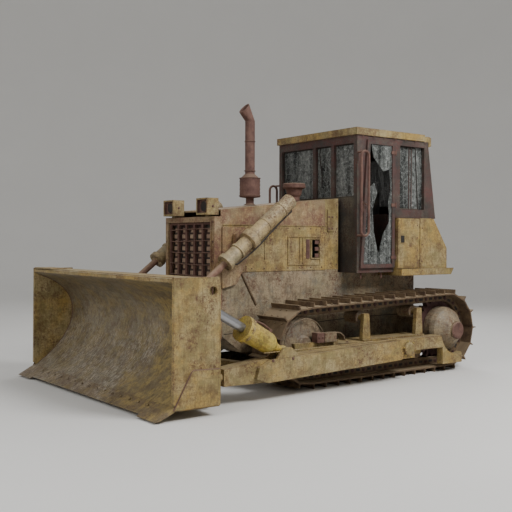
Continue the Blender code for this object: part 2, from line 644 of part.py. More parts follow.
def exhaust(carrier):
    """Muffler and stack, with the tip leaning forward and cut off at a slant."""
    base = hood_line(EXHAUST_Y + 0.09)
    profile = [(base + GAP, 0.09), (base + 0.02, 0.055), (MUFFLER_Z[0], 0.055), (MUFFLER_Z[0] + 0.012, MUFFLER_R),
               (MUFFLER_Z[1] - 0.05, MUFFLER_R), (MUFFLER_Z[1] + 0.02, PIPE_R), (PIPE_BEND, PIPE_R)]
    rings = [ring_at((0, EXHAUST_Y, z), radius, 24) for z, radius in profile]
    mouth = (0, EXHAUST_Y - PIPE_LEAN, PIPE_TIP - PIPE_R * PIPE_SLANT)
    rings.append(ring_at(mouth, PIPE_R, 24, PIPE_SLANT))
    rings.append(ring_at(mouth, PIPE_R - PIPE_WALL, 24, PIPE_SLANT))
    rings.append(ring_at((0, EXHAUST_Y, PIPE_BEND + 0.01), PIPE_R - PIPE_WALL, 24))
    return piece("exhaust", RUST, carrier, [lofted(rings)])


def air_cleaner(carrier):
    base = hood_line(CLEANER_Y + 0.08)
    profile = [(base + GAP, 0.08), (2.47, 0.08), (2.50, 0.10), (2.58, 0.12), (2.60, CLEANER_R),
               (2.655, CLEANER_R), (2.665, CLEANER_R - 0.012)]
    return piece("air_cleaner", RUST, carrier, [turned((0, CLEANER_Y, 0), (0, 0, 1), profile, 28)])


def headlight(side, name, carrier):
    x = side * LAMP_X
    y = GUARD_FRONT + 0.04
    low = GUARD_TOP + 0.02
    half = LAMP_WIDTH / 2
    body = block((x - half, x + half), (y - LAMP_DEPTH + 0.06, y + 0.06), (low, low + LAMP_HEIGHT))
    foot = block((x - 0.04, x + 0.04), (y - 0.03, y + 0.05), (GUARD_TOP + GAP, low + 0.01))
    recess = block((x - half + 0.02, x + half - 0.02), (y - LAMP_DEPTH, y - LAMP_DEPTH + 0.10),
                   (low + 0.025, low + LAMP_HEIGHT - 0.02))
    return piece(name, YELLOW, carrier, [body, foot], [recess])


# --- cab --------------------------------------------------------------------------------

def cab_sections(wall, lift):
    """Upper cab, front well and seat well, shrunk by a wall on every side."""
    half = CAB_HALF - wall
    upper = [(CAB_FRONT + wall, CAB_BOX_TOP + lift), (CAB_FRONT + wall, CAB_TOP - wall),
             (CAB_REAR_TOP - wall, CAB_TOP - wall), (CAB_REAR_LOW - wall, CAB_BOX_TOP + lift)]
    front = [(CAB_FRONT + wall, CAB_FLOOR + wall), (CAB_FRONT + wall, CAB_TOP - wall),
             (DECK_FRONT - 0.01 - wall, CAB_TOP - wall), (DECK_FRONT - 0.01 - wall, CAB_FLOOR + wall)]
    well = CAB_WELL_HALF - wall
    return [prism(upper, -half, half, "x"), prism(front, -half, half, "x"),
            block((-well, well), (CAB_FRONT + 2 * CAB_WALL, CAB_WELL_REAR - wall),
                  (DECK_TOP + GAP + wall, CAB_BOX_TOP + 0.1))]


def door_outline(inset):
    """Side view of a door, whose front edge leans back with the pillar."""
    return [(DOOR_FRONT + inset, DOOR_BOTTOM + inset), (DOOR_REAR - inset, DOOR_BOTTOM + inset),
            (DOOR_REAR - inset, DOOR_TOP - inset), (DOOR_FRONT_TOP + inset, DOOR_TOP - inset)]


def windows():
    """Openings of the front, sides and back."""
    low, high = FRONT_WINDOW
    front = [block(x, (CAB_FRONT - 0.1, CAB_FRONT + 0.1), (low, high)) for x in
             ((-0.78, -0.07), (-0.01, 0.32), (0.38, 0.78))]
    sides = [block(sided(side, (CAB_HALF - 0.1, CAB_HALF + 0.1)), SIDE_WINDOW_Y, SIDE_WINDOW_Z)
             for side in (1, -1)]
    rear = block((-0.68, 0.68), (CAB_REAR_TOP - 0.15, CAB_REAR_LOW + 0.1), (2.40, 3.12))
    return [*front, *sides, rear]


def cab_frame(carrier):
    doors = [prism(door_outline(0.03), *sided(side, (CAB_HALF - 0.1, CAB_HALF + 0.1)), "x") for side in (1, -1)]
    return piece("cab_frame", DARK, carrier, cab_sections(0.0, 0.0),
                 [*cab_sections(CAB_WALL, CAB_WALL), *windows(), *doors])


def cab_roof(carrier):
    top = block((-ROOF_HALF, ROOF_HALF), (ROOF_FRONT, ROOF_REAR - 0.13), (CAB_TOP + GAP, ROOF_TOP))
    box = block((-0.70, ROOF_HALF - 0.02), (ROOF_REAR - 0.14, ROOF_REAR), (CAB_TOP + GAP, ROOF_TOP - 0.02))
    brow = block((-0.70, ROOF_HALF - 0.02), (ROOF_REAR - 0.03, ROOF_REAR), (CAB_TOP - ROOF_BROW, CAB_TOP + 0.02))
    return piece("cab_roof", YELLOW, carrier, [top, box, brow])


def door(side, name, carrier):
    x = sided(side, (CAB_HALF + GAP, CAB_HALF + GAP + DOOR_THICK))
    leaf = prism(door_outline(0.0), x[0], x[1], "x")
    hole = prism(door_outline(DOOR_FRAME), x[0] - 0.1, x[1] + 0.1, "x")
    return piece(name, DARK, carrier, [leaf], [hole])


def door_glass(side, name, carrier, broken):
    """A pane in the door's opening. The broken one has lost its middle, open to its front edge."""
    middle = side * (CAB_HALF + GAP + DOOR_THICK / 2)
    pane = prism(door_outline(DOOR_FRAME + GAP), middle - GLASS / 2, middle + GLASS / 2, "x")
    cuts = []
    if broken:
        hole = [(0.10, 3.30), (0.36, 3.30), (0.42, 3.02), (0.50, 2.94), (0.62, 2.83), (0.74, 2.86), (0.76, 2.60),
                (0.72, 2.38), (0.74, 2.12), (0.62, 1.95), (0.52, 1.66), (0.44, 1.98), (0.41, 2.30),
                (0.50, 2.52), (0.44, 2.66), (0.36, 2.60), (0.31, 2.86), (0.10, 3.00)]
        cuts = [prism(hole, middle - 0.05, middle + 0.05, "x")]
    return piece(name, PANE, carrier, [pane], cuts)


def rear_wall(z):
    """Depth of the leaning rear wall's inner face at a height."""
    height = (CAB_TOP - CAB_WALL - z) / (CAB_TOP - CAB_BOX_TOP - 2 * CAB_WALL)
    return CAB_REAR_TOP - CAB_WALL + (CAB_REAR_LOW - CAB_REAR_TOP) * height


def panes(carrier):
    """Fixed glass, set against the inside of the walls."""
    low, high = FRONT_WINDOW
    inner = CAB_FRONT + CAB_WALL + GAP
    piece("windshield", PANE, carrier,
          [block((-0.795, 0.795), (inner, inner + GLASS), (low - 0.015, high + 0.015))])
    for side, name in ((1, "side_glass_left"), (-1, "side_glass_right")):
        face = CAB_HALF - CAB_WALL - GAP
        y, z = SIDE_WINDOW_Y, SIDE_WINDOW_Z
        piece(name, PANE, carrier, [block(sided(side, (face - GLASS, face)), (y[0] - 0.01, y[1] + 0.01),
                                          (z[0] - 0.01, z[1] + 0.01))])
    face = [(rear_wall(z) - REAR_GLASS_GAP, z) for z in REAR_GLASS_Z]
    back = [(y - GLASS, z) for y, z in reversed(face)]
    piece("rear_glass", PANE, carrier, [prism(face + back, -REAR_GLASS_HALF, REAR_GLASS_HALF, "x")])


def seat(carrier):
    base = block((-0.20, 0.20), (0.78, 1.16), (DECK_TOP + GAP + CAB_WALL + GAP, 1.78))
    cushion = block((-0.26, 0.26), (0.62, 1.16), (1.77, 1.93))
    arch = [(-0.25, 1.85), (0.25, 1.85), (0.25, 2.36), *arc((0.0, 2.36), 0.25, 20, 160, 9), (-0.25, 2.36)]
    back = prism(arch, 1.08, 1.22, "y")
    return piece("seat", VINYL, carrier, [base, cushion, back])


def dashboard(carrier):
    low = CAB_FLOOR + CAB_WALL + GAP
    side = [(0.21, low), (0.36, low), (0.44, 2.10), (0.40, 2.22), (0.21, 2.30)]
    return piece("dashboard", DARK, carrier, [prism(side, -0.42, 0.30, "x")])


def grab_rail(side, name, carrier, low, high):
    """A long hand loop held off the front pillar by two stubs."""
    centre, half = RAIL_CENTRE_Y, RAIL_HALF
    loop = [*arc((centre, high - half), half, 0, 180, 9), *arc((centre, low + half), half, 180, 360, 9)]
    ring = tube_along(loop, RAIL_R, 8)
    bmesh.ops.translate(ring, verts=ring.verts, vec=(side * RAIL_STANDOFF_X, 0, 0))
    stubs = [rod((side * (CAB_HALF + GAP), centre + 0.012, z), (side * RAIL_STANDOFF_X, centre + 0.012, z), 0.014, 10)
             for z in (low + RAIL_R * 0.2, high - RAIL_R * 0.2)]
    return piece(name, RUST, carrier, [ring, *stubs])


# --- rear deck --------------------------------------------------------------------------

def rear_deck(carrier):
    side = [(DECK_FRONT, DECK_BOTTOM), (DECK_REAR - 0.06, DECK_BOTTOM), (DECK_REAR, DECK_TOP), (DECK_FRONT, DECK_TOP)]
    return piece("rear_deck", YELLOW, carrier, [prism(side, -DECK_HALF, DECK_HALF, "x")])


def fuel_tank(carrier):
    low = DECK_TOP + GAP
    side = [(BOX_REAR + GAP, low), (TANK_REAR, low), (TANK_REAR, TANK_BEVEL_Z), (TANK_BEVEL_Y, BOX_TOP),
            (BOX_REAR + GAP, BOX_TOP)]
    return piece("fuel_tank", YELLOW, carrier, [prism(side, -BOX_OUT, BOX_OUT, "x")])


def hydraulic_tank(carrier):
    tank = block((-BOX_OUT, -CAB_WELL_HALF - GAP), (BOX_FRONT, BOX_REAR), (DECK_TOP + GAP, BOX_TOP))
    return piece("hydraulic_tank", YELLOW, carrier, [tank])


def tool_box(carrier):
    x = (CAB_WELL_HALF + GAP, BOX_OUT - BOX_WALL - GAP)
    z = (DECK_TOP + GAP, BOX_TOP)
    shell = block(x, (BOX_FRONT, BOX_REAR), z)
    hollow = block((x[0] + BOX_WALL, x[1] + 0.1), (BOX_FRONT + BOX_WALL, BOX_REAR - BOX_WALL),
                   (z[0] + BOX_WALL, z[1] - BOX_WALL))
    return piece("tool_box", YELLOW, carrier, [shell], [hollow])


def tool_box_door(carrier):
    leaf = block((BOX_OUT - BOX_WALL, BOX_OUT), (BOX_FRONT + 0.003, BOX_REAR - 0.012),
                 (DECK_TOP + 0.008, BOX_TOP - 0.004))
    knuckles = [rod((BOX_OUT + 0.004, BOX_REAR - 0.012, z - 0.03), (BOX_OUT + 0.004, BOX_REAR - 0.012, z + 0.03),
                    0.010, 12) for z in (1.56, 1.82, 2.08)]
    return piece("tool_box_door", YELLOW, carrier, [leaf, *knuckles])


# --- blade ------------------------------------------------------------------------------

def tilt_axis():
    """The blade rolls about Y while its pitch follows the far arm, so it turns about a line
    between the two."""
    reach = TRUNNION_Y - JOINT_Y
    return Vector((-2 * JOINT_X / reach, 1.0, 0.0)).normalized()


def blade(carrier):
    """Mouldboard on its box-section back, with end plates and every bracket."""
    half = BLADE_HALF - END_PLATE + OVERLAP
    outline = [*bezier(CURVE, 15), (END_PLATE_FRONT, 1.415), (END_PLATE_FRONT, BLADE_TOP - 0.012),
               (-2.90, BLADE_TOP - 0.012), (BLADE_BACK, 1.36), (BLADE_BACK, 0.17), (-2.90, 0.115), (-3.367, 0.112)]
    shapes = [prism(outline, -half, half, "x")]
    ends = [(END_PLATE_FRONT - 0.012, 0.175), (END_PLATE_FRONT, BLADE_TOP), (END_PLATE_REAR, BLADE_TOP),
            (END_PLATE_REAR, 0.10), (-3.352, 0.10), (-3.37, 0.148)]
    cuts = []
    for side in (1, -1):
        shapes.append(prism(ends, *sided(side, (BLADE_HALF - END_PLATE, BLADE_HALF)), "x"))
        for x in (LIFT_X - EAR_HALF_GAP - 0.025, LIFT_X + EAR_HALF_GAP):
            ear = [(BLADE_BACK - 0.01, 0.89), (BLADE_BACK - 0.01, 1.32), (LIFT_EYE_Y - 0.02, LIFT_EYE_Z + 0.14),
                   (LIFT_EYE_Y + 0.06, LIFT_EYE_Z + 0.04), (LIFT_EYE_Y + 0.06, LIFT_EYE_Z - 0.06)]
            shapes.append(prism(ear, *sided(side, (x, x + 0.025)), "x"))
        for x in (TILT_X - TILT_EAR_HALF_GAP - 0.025, TILT_X + TILT_EAR_HALF_GAP):
            ear = [(BLADE_BACK - 0.01, 1.00), (BLADE_BACK - 0.01, 1.20), (-2.70, 1.17), (-2.66, 1.10), (-2.70, 1.03)]
            shapes.append(prism(ear, *sided(side, (x, x + 0.025)), "x"))
        grip = 0.15 if side == 1 else 0.15 + DRIFT
        shapes.append(block(sided(side, (JOINT_X - grip, JOINT_X + grip)), (BLADE_BACK - 0.01, JOINT_Y),
                            (JOINT_Z - grip, JOINT_Z + grip)))
        room = BALL_R + (BALL_FIT if side == 1 else DRIFT)
        cuts.append(ball((side * JOINT_X, JOINT_Y, JOINT_Z), tilt_axis(), room))
        cuts.append(rod((side * (BLADE_HALF - END_PLATE - 0.01), EYE_HOLE_Y, EYE_HOLE_Z),
                        (side * (BLADE_HALF + 0.1), EYE_HOLE_Y, EYE_HOLE_Z), EYE_HOLE_R, 20))
    return piece("blade", YELLOW, carrier, shapes, cuts)


def edge_section(tip, thick, root):
    """Side view of the hardened edge, which carries on the line of the mouldboard's foot."""
    top = Vector(root)
    along = (Vector(tip) - top).normalized()
    under = Vector((-along.y, along.x))
    return [tuple(top), tuple(tip), tuple(Vector(tip) - along * 0.05 + under * 0.022),
            tuple(top + along * 0.002 + under * thick)]


def cutting_edge(carrier):
    middle = BLADE_HALF - END_BIT_WIDTH
    section = edge_section((EDGE_TIP_Y, EDGE_TIP_Z), EDGE_THICK, EDGE_ROOT)
    bit = edge_section((TIP_Y, TIP_Z), EDGE_THICK + 0.006, (EDGE_ROOT[0] - 0.006, EDGE_ROOT[1] + 0.001))
    shapes = [prism(section, -middle - OVERLAP, middle + OVERLAP, "x")]
    for side in (1, -1):
        shapes.append(prism(bit, *sided(side, (middle, BLADE_HALF)), "x"))
    return piece("cutting_edge", BARE, carrier, shapes)


# --- arms and cylinders -----------------------------------------------------------------

def push_arm(side, name, carrier):
    middle = (-2.05, 0.349)
    core = [(ARM_FRONT, 0.23), (ARM_FRONT, 0.42), (middle[0], middle[1] + ARM_HALF),
            (ARM_REAR, TRUNNION_Z - 0.005 + ARM_HALF), (ARM_REAR, TRUNNION_Z - 0.005 - ARM_HALF),
            (middle[0], middle[1] - ARM_HALF)]
    cover = [(-2.16, 0.28), (-2.12, 0.40), (-1.93, middle[1] + ARM_HALF), (ARM_REAR, TRUNNION_Z - 0.008 + ARM_HALF),
             (ARM_REAR, TRUNNION_Z - 0.002 - ARM_HALF), (-2.0, middle[1] - ARM_HALF)]
    shapes = [prism(core, *sided(side, (ARM_X[0], ARM_X[1] - ARM_PLATE)), "x"),
              prism(cover, *sided(side, (ARM_X[1] - ARM_PLATE - OVERLAP, ARM_X[1])), "x"),
              block(sided(side, (1.42, 1.58)), (ARM_REAR - 0.02, ARM_SOCKET_REAR), (0.30, 0.554)),
              rod((side * JOINT_X, ARM_FRONT + 0.05, JOINT_Z), (side * JOINT_X, JOINT_Y + 0.02, JOINT_Z), 0.055),
              ball((side * JOINT_X, JOINT_Y, JOINT_Z), tilt_axis(), BALL_R)]
    for x in (TILT_X - TILT_EAR_HALF_GAP - 0.03, TILT_X + TILT_EAR_HALF_GAP):
        ear = [(TILT_Y - 0.16, 0.47), (TILT_Y - 0.06, TILT_Z + 0.06), (TILT_Y + 0.06, TILT_Z + 0.06), (TILT_Y + 0.22, 0.47)]
        shapes.append(prism(ear, *sided(side, (x, x + 0.03)), "x"))
    slot = block(sided(side, (TILT_X - TILT_EAR_HALF_GAP, TILT_X + TILT_EAR_HALF_GAP)),
                 (TILT_Y - 0.24, TILT_Y + 0.10), (TILT_Z - 0.085, TILT_Z + 0.2))
    relief = block(sided(side, (1.20, 1.42)), (-0.10, ARM_SOCKET_REAR + 0.1), (0.0, 1.0))
    eye = rod((side * 1.2, TRUNNION_Y, TRUNNION_Z), (side * 1.8, TRUNNION_Y, TRUNNION_Z), TRUNNION_R + PIN_FIT, 32)
    cap_room = rod((side * (ARM_X[1] - 0.02), TRUNNION_Y, TRUNNION_Z), (side * 1.8, TRUNNION_Y, TRUNNION_Z),
                   TRUNNION_CAP_R + 0.01, 32)
    return piece(name, YELLOW, carrier, shapes, [slot, relief, eye, cap_room])


def line_of(side, x, start, end):
    """Start point, unit direction and length of a cylinder or strut."""
    first = Vector((side * x, *start))
    last = Vector((side * x, *end))
    return first, (last - first).normalized(), (last - first).length


def lift_barrel(side, name, carrier):
    trunnion, along, _ = line_of(side, LIFT_X, (LIFT_Y, LIFT_Z), (LIFT_EYE_Y, LIFT_EYE_Z))
    profile = [(-LIFT_TAIL, LIFT_R - 0.02), (-LIFT_TAIL + 0.02, LIFT_R), (-0.06, LIFT_R), (-0.05, LIFT_R + 0.028),
               (0.05, LIFT_R + 0.028), (0.06, LIFT_R - 0.008), (LIFT_NOSE - 0.07, LIFT_R - 0.008),
               (LIFT_NOSE - 0.065, LIFT_R + 0.013), (LIFT_NOSE, LIFT_R + 0.013)]
    tube = turned(trunnion, along, profile, 20)
    pin = rod((side * (LIFT_X - 0.10), LIFT_Y, LIFT_Z), (side * (HULL_HALF + PIN_END), LIFT_Y, LIFT_Z), LIFT_PIN_R, 32)
    bore = rod(trunnion - along * (LIFT_TAIL - 0.05), trunnion + along * (LIFT_NOSE + 0.1), LIFT_ROD_R + ROD_FIT, 24)
    return piece(name, YELLOW, carrier, [tube, pin], [bore])


def lift_rod(side, name, carrier):
    trunnion, along, length = line_of(side, LIFT_X, (LIFT_Y, LIFT_Z), (LIFT_EYE_Y, LIFT_EYE_Z))
    bar = rod(trunnion - along * LIFT_ROD_IN, trunnion + along * (length - 0.02), LIFT_ROD_R, 24)
    eye = rod((side * (LIFT_X - 0.045), LIFT_EYE_Y, LIFT_EYE_Z), (side * (LIFT_X + 0.045), LIFT_EYE_Y, LIFT_EYE_Z),
              LIFT_EYE_R, 20)
    return piece(name, CHROME, carrier, [bar, eye])


def tilt_barrel(carrier):
    pivot, along, _ = line_of(1, TILT_X, (TILT_Y, TILT_Z), (TILT_EYE_Y, TILT_EYE_Z))
    start, end = TILT_BARREL
    profile = [(0.03, 0.045), (start - 0.06, 0.06), (start, 0.105), (start + 0.05, TILT_R - 0.01), (end - 0.07, TILT_R),
               (end - 0.07, TILT_R + 0.02), (end, TILT_R + 0.02)]
    tube = turned(pivot, along, profile, 18)
    eye = ball(pivot, along, TILT_EAR_HALF_GAP - GAP)
    bore = rod(pivot + along * (start + 0.04), pivot + along * (end + 0.1), TILT_ROD_R + ROD_FIT, 24)
    return piece("tilt_barrel", YELLOW, carrier, [tube, eye], [bore])


def tilt_rod(carrier):
    pivot, along, length = line_of(1, TILT_X, (TILT_Y, TILT_Z), (TILT_EYE_Y, TILT_EYE_Z))
    bar = rod(pivot + along * (TILT_BARREL[0] + 0.16), pivot + along * (length - 0.02), TILT_ROD_R, 24)
    eye = rod((TILT_X - 0.05, TILT_EYE_Y, TILT_EYE_Z), (TILT_X + 0.05, TILT_EYE_Y, TILT_EYE_Z), 0.055, 20)
    return piece("tilt_rod", CHROME, carrier, [bar, eye])


def brace(carrier):
    """The right-hand strut, held by the blade's ears and open at the arm."""
    pivot, along, length = line_of(-1, TILT_X, (TILT_Y, TILT_Z), (TILT_EYE_Y, TILT_EYE_Z))
    profile = [(0.02, 0.030), (0.24, 0.030), (0.30, 0.055), (0.31, 0.075), (0.38, 0.075), (0.39, 0.062),
               (length - 0.40, 0.062), (length - 0.39, 0.075), (length - 0.32, 0.075), (length - 0.31, 0.055),
               (length - 0.02, 0.045)]
    grip = TILT_EAR_HALF_GAP - GAP
    eyes = [rod((-TILT_X - half, y, z), (-TILT_X + half, y, z), 0.052, 20) for y, z, half in
            ((TILT_Y, TILT_Z, 0.025), (TILT_EYE_Y, TILT_EYE_Z, grip))]
    return piece("brace", YELLOW, carrier, [turned(pivot, along, profile, 20), *eyes])


def stay(side, name, carrier):
    """Diagonal stay. The left one is held by its arm, the right one by the blade."""
    arm_gap = GAP if side == 1 else SWING + 0.012
    blade_gap = SWING if side == 1 else GAP
    near = Vector((side * (ARM_X[0] - STAY_R - arm_gap), STAY_Y, STAY_Z))
    far = Vector((side * STAY_END_X, BLADE_BACK + STAY_R + blade_gap, STAY_END_Z))
    bar = rod(near, far, STAY_R * 0.8, 10)
    knobs = [ball(point, (0, 0, 1), STAY_R, 14, 6) for point in (near, far)]
    foot = [] if side == 1 else [block((far.x - 0.06, far.x + 0.06), (BLADE_BACK + GAP, BLADE_BACK + 0.03),
                                       (far.z - 0.07, far.z + 0.07))]
    return piece(name, YELLOW, carrier, [bar, *knobs, *foot])


# --- assembly ---------------------------------------------------------------------------

def build_chassis(root):
    for builder in (main_frame, engine_block, drawbar, equalizer_bar, radiator_guard, radiator_core,
                    radiator_grille, exhaust, air_cleaner, cab_frame, cab_roof, panes, seat, dashboard,
                    rear_deck, fuel_tank, hydraulic_tank, tool_box):
        builder(root)
    hood_section("hood", root, HULL_FRONT, HOOD_REAR - GAP, HOOD_SEAM)
    hood_section("cowl", root, HOOD_REAR, COWL_REAR, HULL_SEAM)
    grab_rail(1, "grab_rail_left", root, 1.92, 3.07)
    grab_rail(-1, "grab_rail_right", root, 1.75, 2.70)
    for side, word in ((1, "left"), (-1, "right")):
        side_panel(side, f"side_panel_{word}", root)
        headlight(side, f"headlight_{word}", root)
        track(side, f"track_{word}", root)
        idler(side, f"idler_{word}", root)
        final_drive(side, f"final_drive_{word}", root)
        track_rollers(side, f"track_rollers_{word}", root)
        carrier_rollers(side, f"carrier_rollers_{word}", root)
        track_frame(side, f"track_frame_{word}", root)


def build_doors(root):
    for side, word in ((1, "left"), (-1, "right")):
        hinge = empty(f"door_hinge_{word}", (side * HINGE_X, HINGE_Y, DOOR_BOTTOM), root)
        door(side, f"door_{word}", hinge)
        door_glass(side, f"door_glass_{word}", hinge, broken=side == 1)
    hinge = empty("tool_box_hinge", (BOX_OUT + 0.004, BOX_REAR - 0.012, DECK_TOP), root)
    tool_box_door(hinge)


def build_implement(root):
    left = empty("left_arm_pivot", (JOINT_X, TRUNNION_Y, TRUNNION_Z), root)
    right = empty("right_arm_pivot", (-JOINT_X, TRUNNION_Y, TRUNNION_Z), left)
    blade_pivot = empty("blade_pivot", (JOINT_X, JOINT_Y, JOINT_Z), left)
    push_arm(1, "push_arm_left", left)
    push_arm(-1, "push_arm_right", right)
    blade(blade_pivot)
    cutting_edge(blade_pivot)
    brace(blade_pivot)
    stay(-1, "stay_right", blade_pivot)
    stay(1, "stay_left", empty("stay_pivot", (ARM_X[0] - STAY_R - GAP, STAY_Y, STAY_Z), left))
    tilt_pivot = empty("tilt_pivot", (TILT_X, TILT_Y, TILT_Z), left)
    tilt_barrel(tilt_pivot)
    tilt_rod(empty("tilt_rod_eye", (TILT_X, TILT_EYE_Y, TILT_EYE_Z), tilt_pivot))
    for side, word in ((1, "left"), (-1, "right")):
        trunnion = empty(f"lift_pivot_{word}", (side * LIFT_X, LIFT_Y, LIFT_Z), root)
        lift_barrel(side, f"lift_barrel_{word}", trunnion)
        lift_rod(side, f"lift_rod_{word}",
                 empty(f"lift_rod_eye_{word}", (side * LIFT_X, LIFT_EYE_Y, LIFT_EYE_Z), trunnion))


def main():
    for old in list(bpy.data.objects):
        bpy.data.objects.remove(old, do_unlink=True)
    root = empty("machine", (0.0, 0.0, 0.0))
    build_chassis(root)
    build_doors(root)
    build_implement(root)
    root.location = (0.0, SHIFT_Y, 0.0)


main()
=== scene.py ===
"""Looks of the crawler bulldozer: weathered paint, rust, grimy glass, and the small fittings.

Metres, +Z up, -Y the way the machine faces, +X its left side. Places come from the frame's own
boxes and from the driving sizes below. A small fitting's own size and place are given where it
is drawn.
"""

import json
import math

import bmesh
import bpy
from mathutils import Matrix, Vector


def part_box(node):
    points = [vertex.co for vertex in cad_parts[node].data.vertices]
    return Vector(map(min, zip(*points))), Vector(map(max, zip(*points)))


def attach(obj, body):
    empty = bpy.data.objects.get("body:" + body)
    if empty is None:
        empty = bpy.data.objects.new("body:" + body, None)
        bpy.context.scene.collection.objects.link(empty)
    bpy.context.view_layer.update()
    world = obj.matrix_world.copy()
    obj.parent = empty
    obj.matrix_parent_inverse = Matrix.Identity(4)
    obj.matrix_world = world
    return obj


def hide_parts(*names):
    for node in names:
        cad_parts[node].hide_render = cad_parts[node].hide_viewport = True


# --- driving sizes ----------------------------------------------------------------------
TRACK_X = 1.00
SHOE_COUNT = 39
IDLER = Vector((-0.373, 0.54))
SPROCKET = Vector((2.312, 0.581))
IDLER_PIN_R, SPROCKET_PIN_R = 0.409, 0.45
SHOE_OUT = 0.071        # outer face of a shoe plate, from the pin line
LINK_FACE = 0.105       # outer face of a link rail, from the track's centre
IDLER_FACE = 0.20       # outer face of the idler, from the track's centre
IDLER_RIM_R = 0.335
DRIVE_FACE = 1.158      # outer face of the drive case's flange, from the machine's middle
DRIVE_BOLTS_R = 0.305
RECOIL_BOX_X = (1.205, 1.315)

LIFT_X, LIFT_TRUNNION, LIFT_EYE = 0.82, Vector((-0.948, 1.869)), Vector((-1.906, 1.1255))
LIFT_R, LIFT_NOSE, LIFT_TAIL = 0.10, 0.49, 0.83
TILT_X, TILT_PIVOT, TILT_EYE = 1.48, Vector((-0.973, 0.545)), Vector((-1.998, 1.10))
TILT_R, TILT_END = 0.135, 0.66

CURVE = ((-2.658, 0.143), (-2.008, 0.558), (-1.874, 1.164), (-2.633, 1.39))
EYE_HOLE = (-2.193, 1.32)
BLADE_BACK = -2.073
END_PLATE = 0.04         # thickness of the blade's end plates
EDGE_BOLTS_Y, EDGE_BOLTS_Z = -2.73, 0.118
EDGE_RISE = 0.102       # height of the cutting edge's slope
ARM_TRUNNION = (1.097, 0.427)

VENT_Y, VENT_Z = (0.307, 0.427), (1.62, 1.86)
SEAM_Z = 1.455
HOOD_BOLTS_Z = (2.015, 1.49)
DOOR_HINGE_X, DOOR_HINGE_Y = 0.89, 1.582
DOOR_HINGES_Z = (1.62, 2.36, 3.10)
EXHAUST_Y, MUFFLER_R = -0.343, 0.134
EXHAUST_BANDS = ((2.46, 0.145), (2.70, 0.142), (2.80, 0.075), (3.20, 0.070))    # height, radius
BAFFLE_PITCH = 0.081
TANK_HALF, TANK_RIDGE_Y = 0.93, 2.33

CAMERA_AT, CAMERA_TO = (8.862, -6.981, 1.836), (-0.468, 0.122, 1.629)
CAMERA_ROLL, CAMERA_LENS = 0.003, 57.0
LIGHTS_AIM = (0.0, 0.0, 1.3)
LIGHTS = (("key", (8.0, 1.5, 8.5), 3.5, 1050), ("front", (3.0, -10.0, 5.5), 6.0, 330),
          ("rim", (-6.0, 7.0, 7.0), 5.0, 300))      # name, place, width, power in watts
SKY_COLOUR, SKY_STRENGTH = (0.90, 0.90, 0.89, 1.0), 0.62

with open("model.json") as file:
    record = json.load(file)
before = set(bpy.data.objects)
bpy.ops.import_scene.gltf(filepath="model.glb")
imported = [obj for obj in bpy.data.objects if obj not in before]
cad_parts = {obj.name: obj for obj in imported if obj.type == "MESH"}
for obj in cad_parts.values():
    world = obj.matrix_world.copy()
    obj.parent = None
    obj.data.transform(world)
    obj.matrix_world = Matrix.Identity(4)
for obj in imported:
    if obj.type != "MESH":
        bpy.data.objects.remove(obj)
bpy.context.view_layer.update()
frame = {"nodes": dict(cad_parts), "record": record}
nodes = frame["nodes"]


# --- materials --------------------------------------------------------------------------

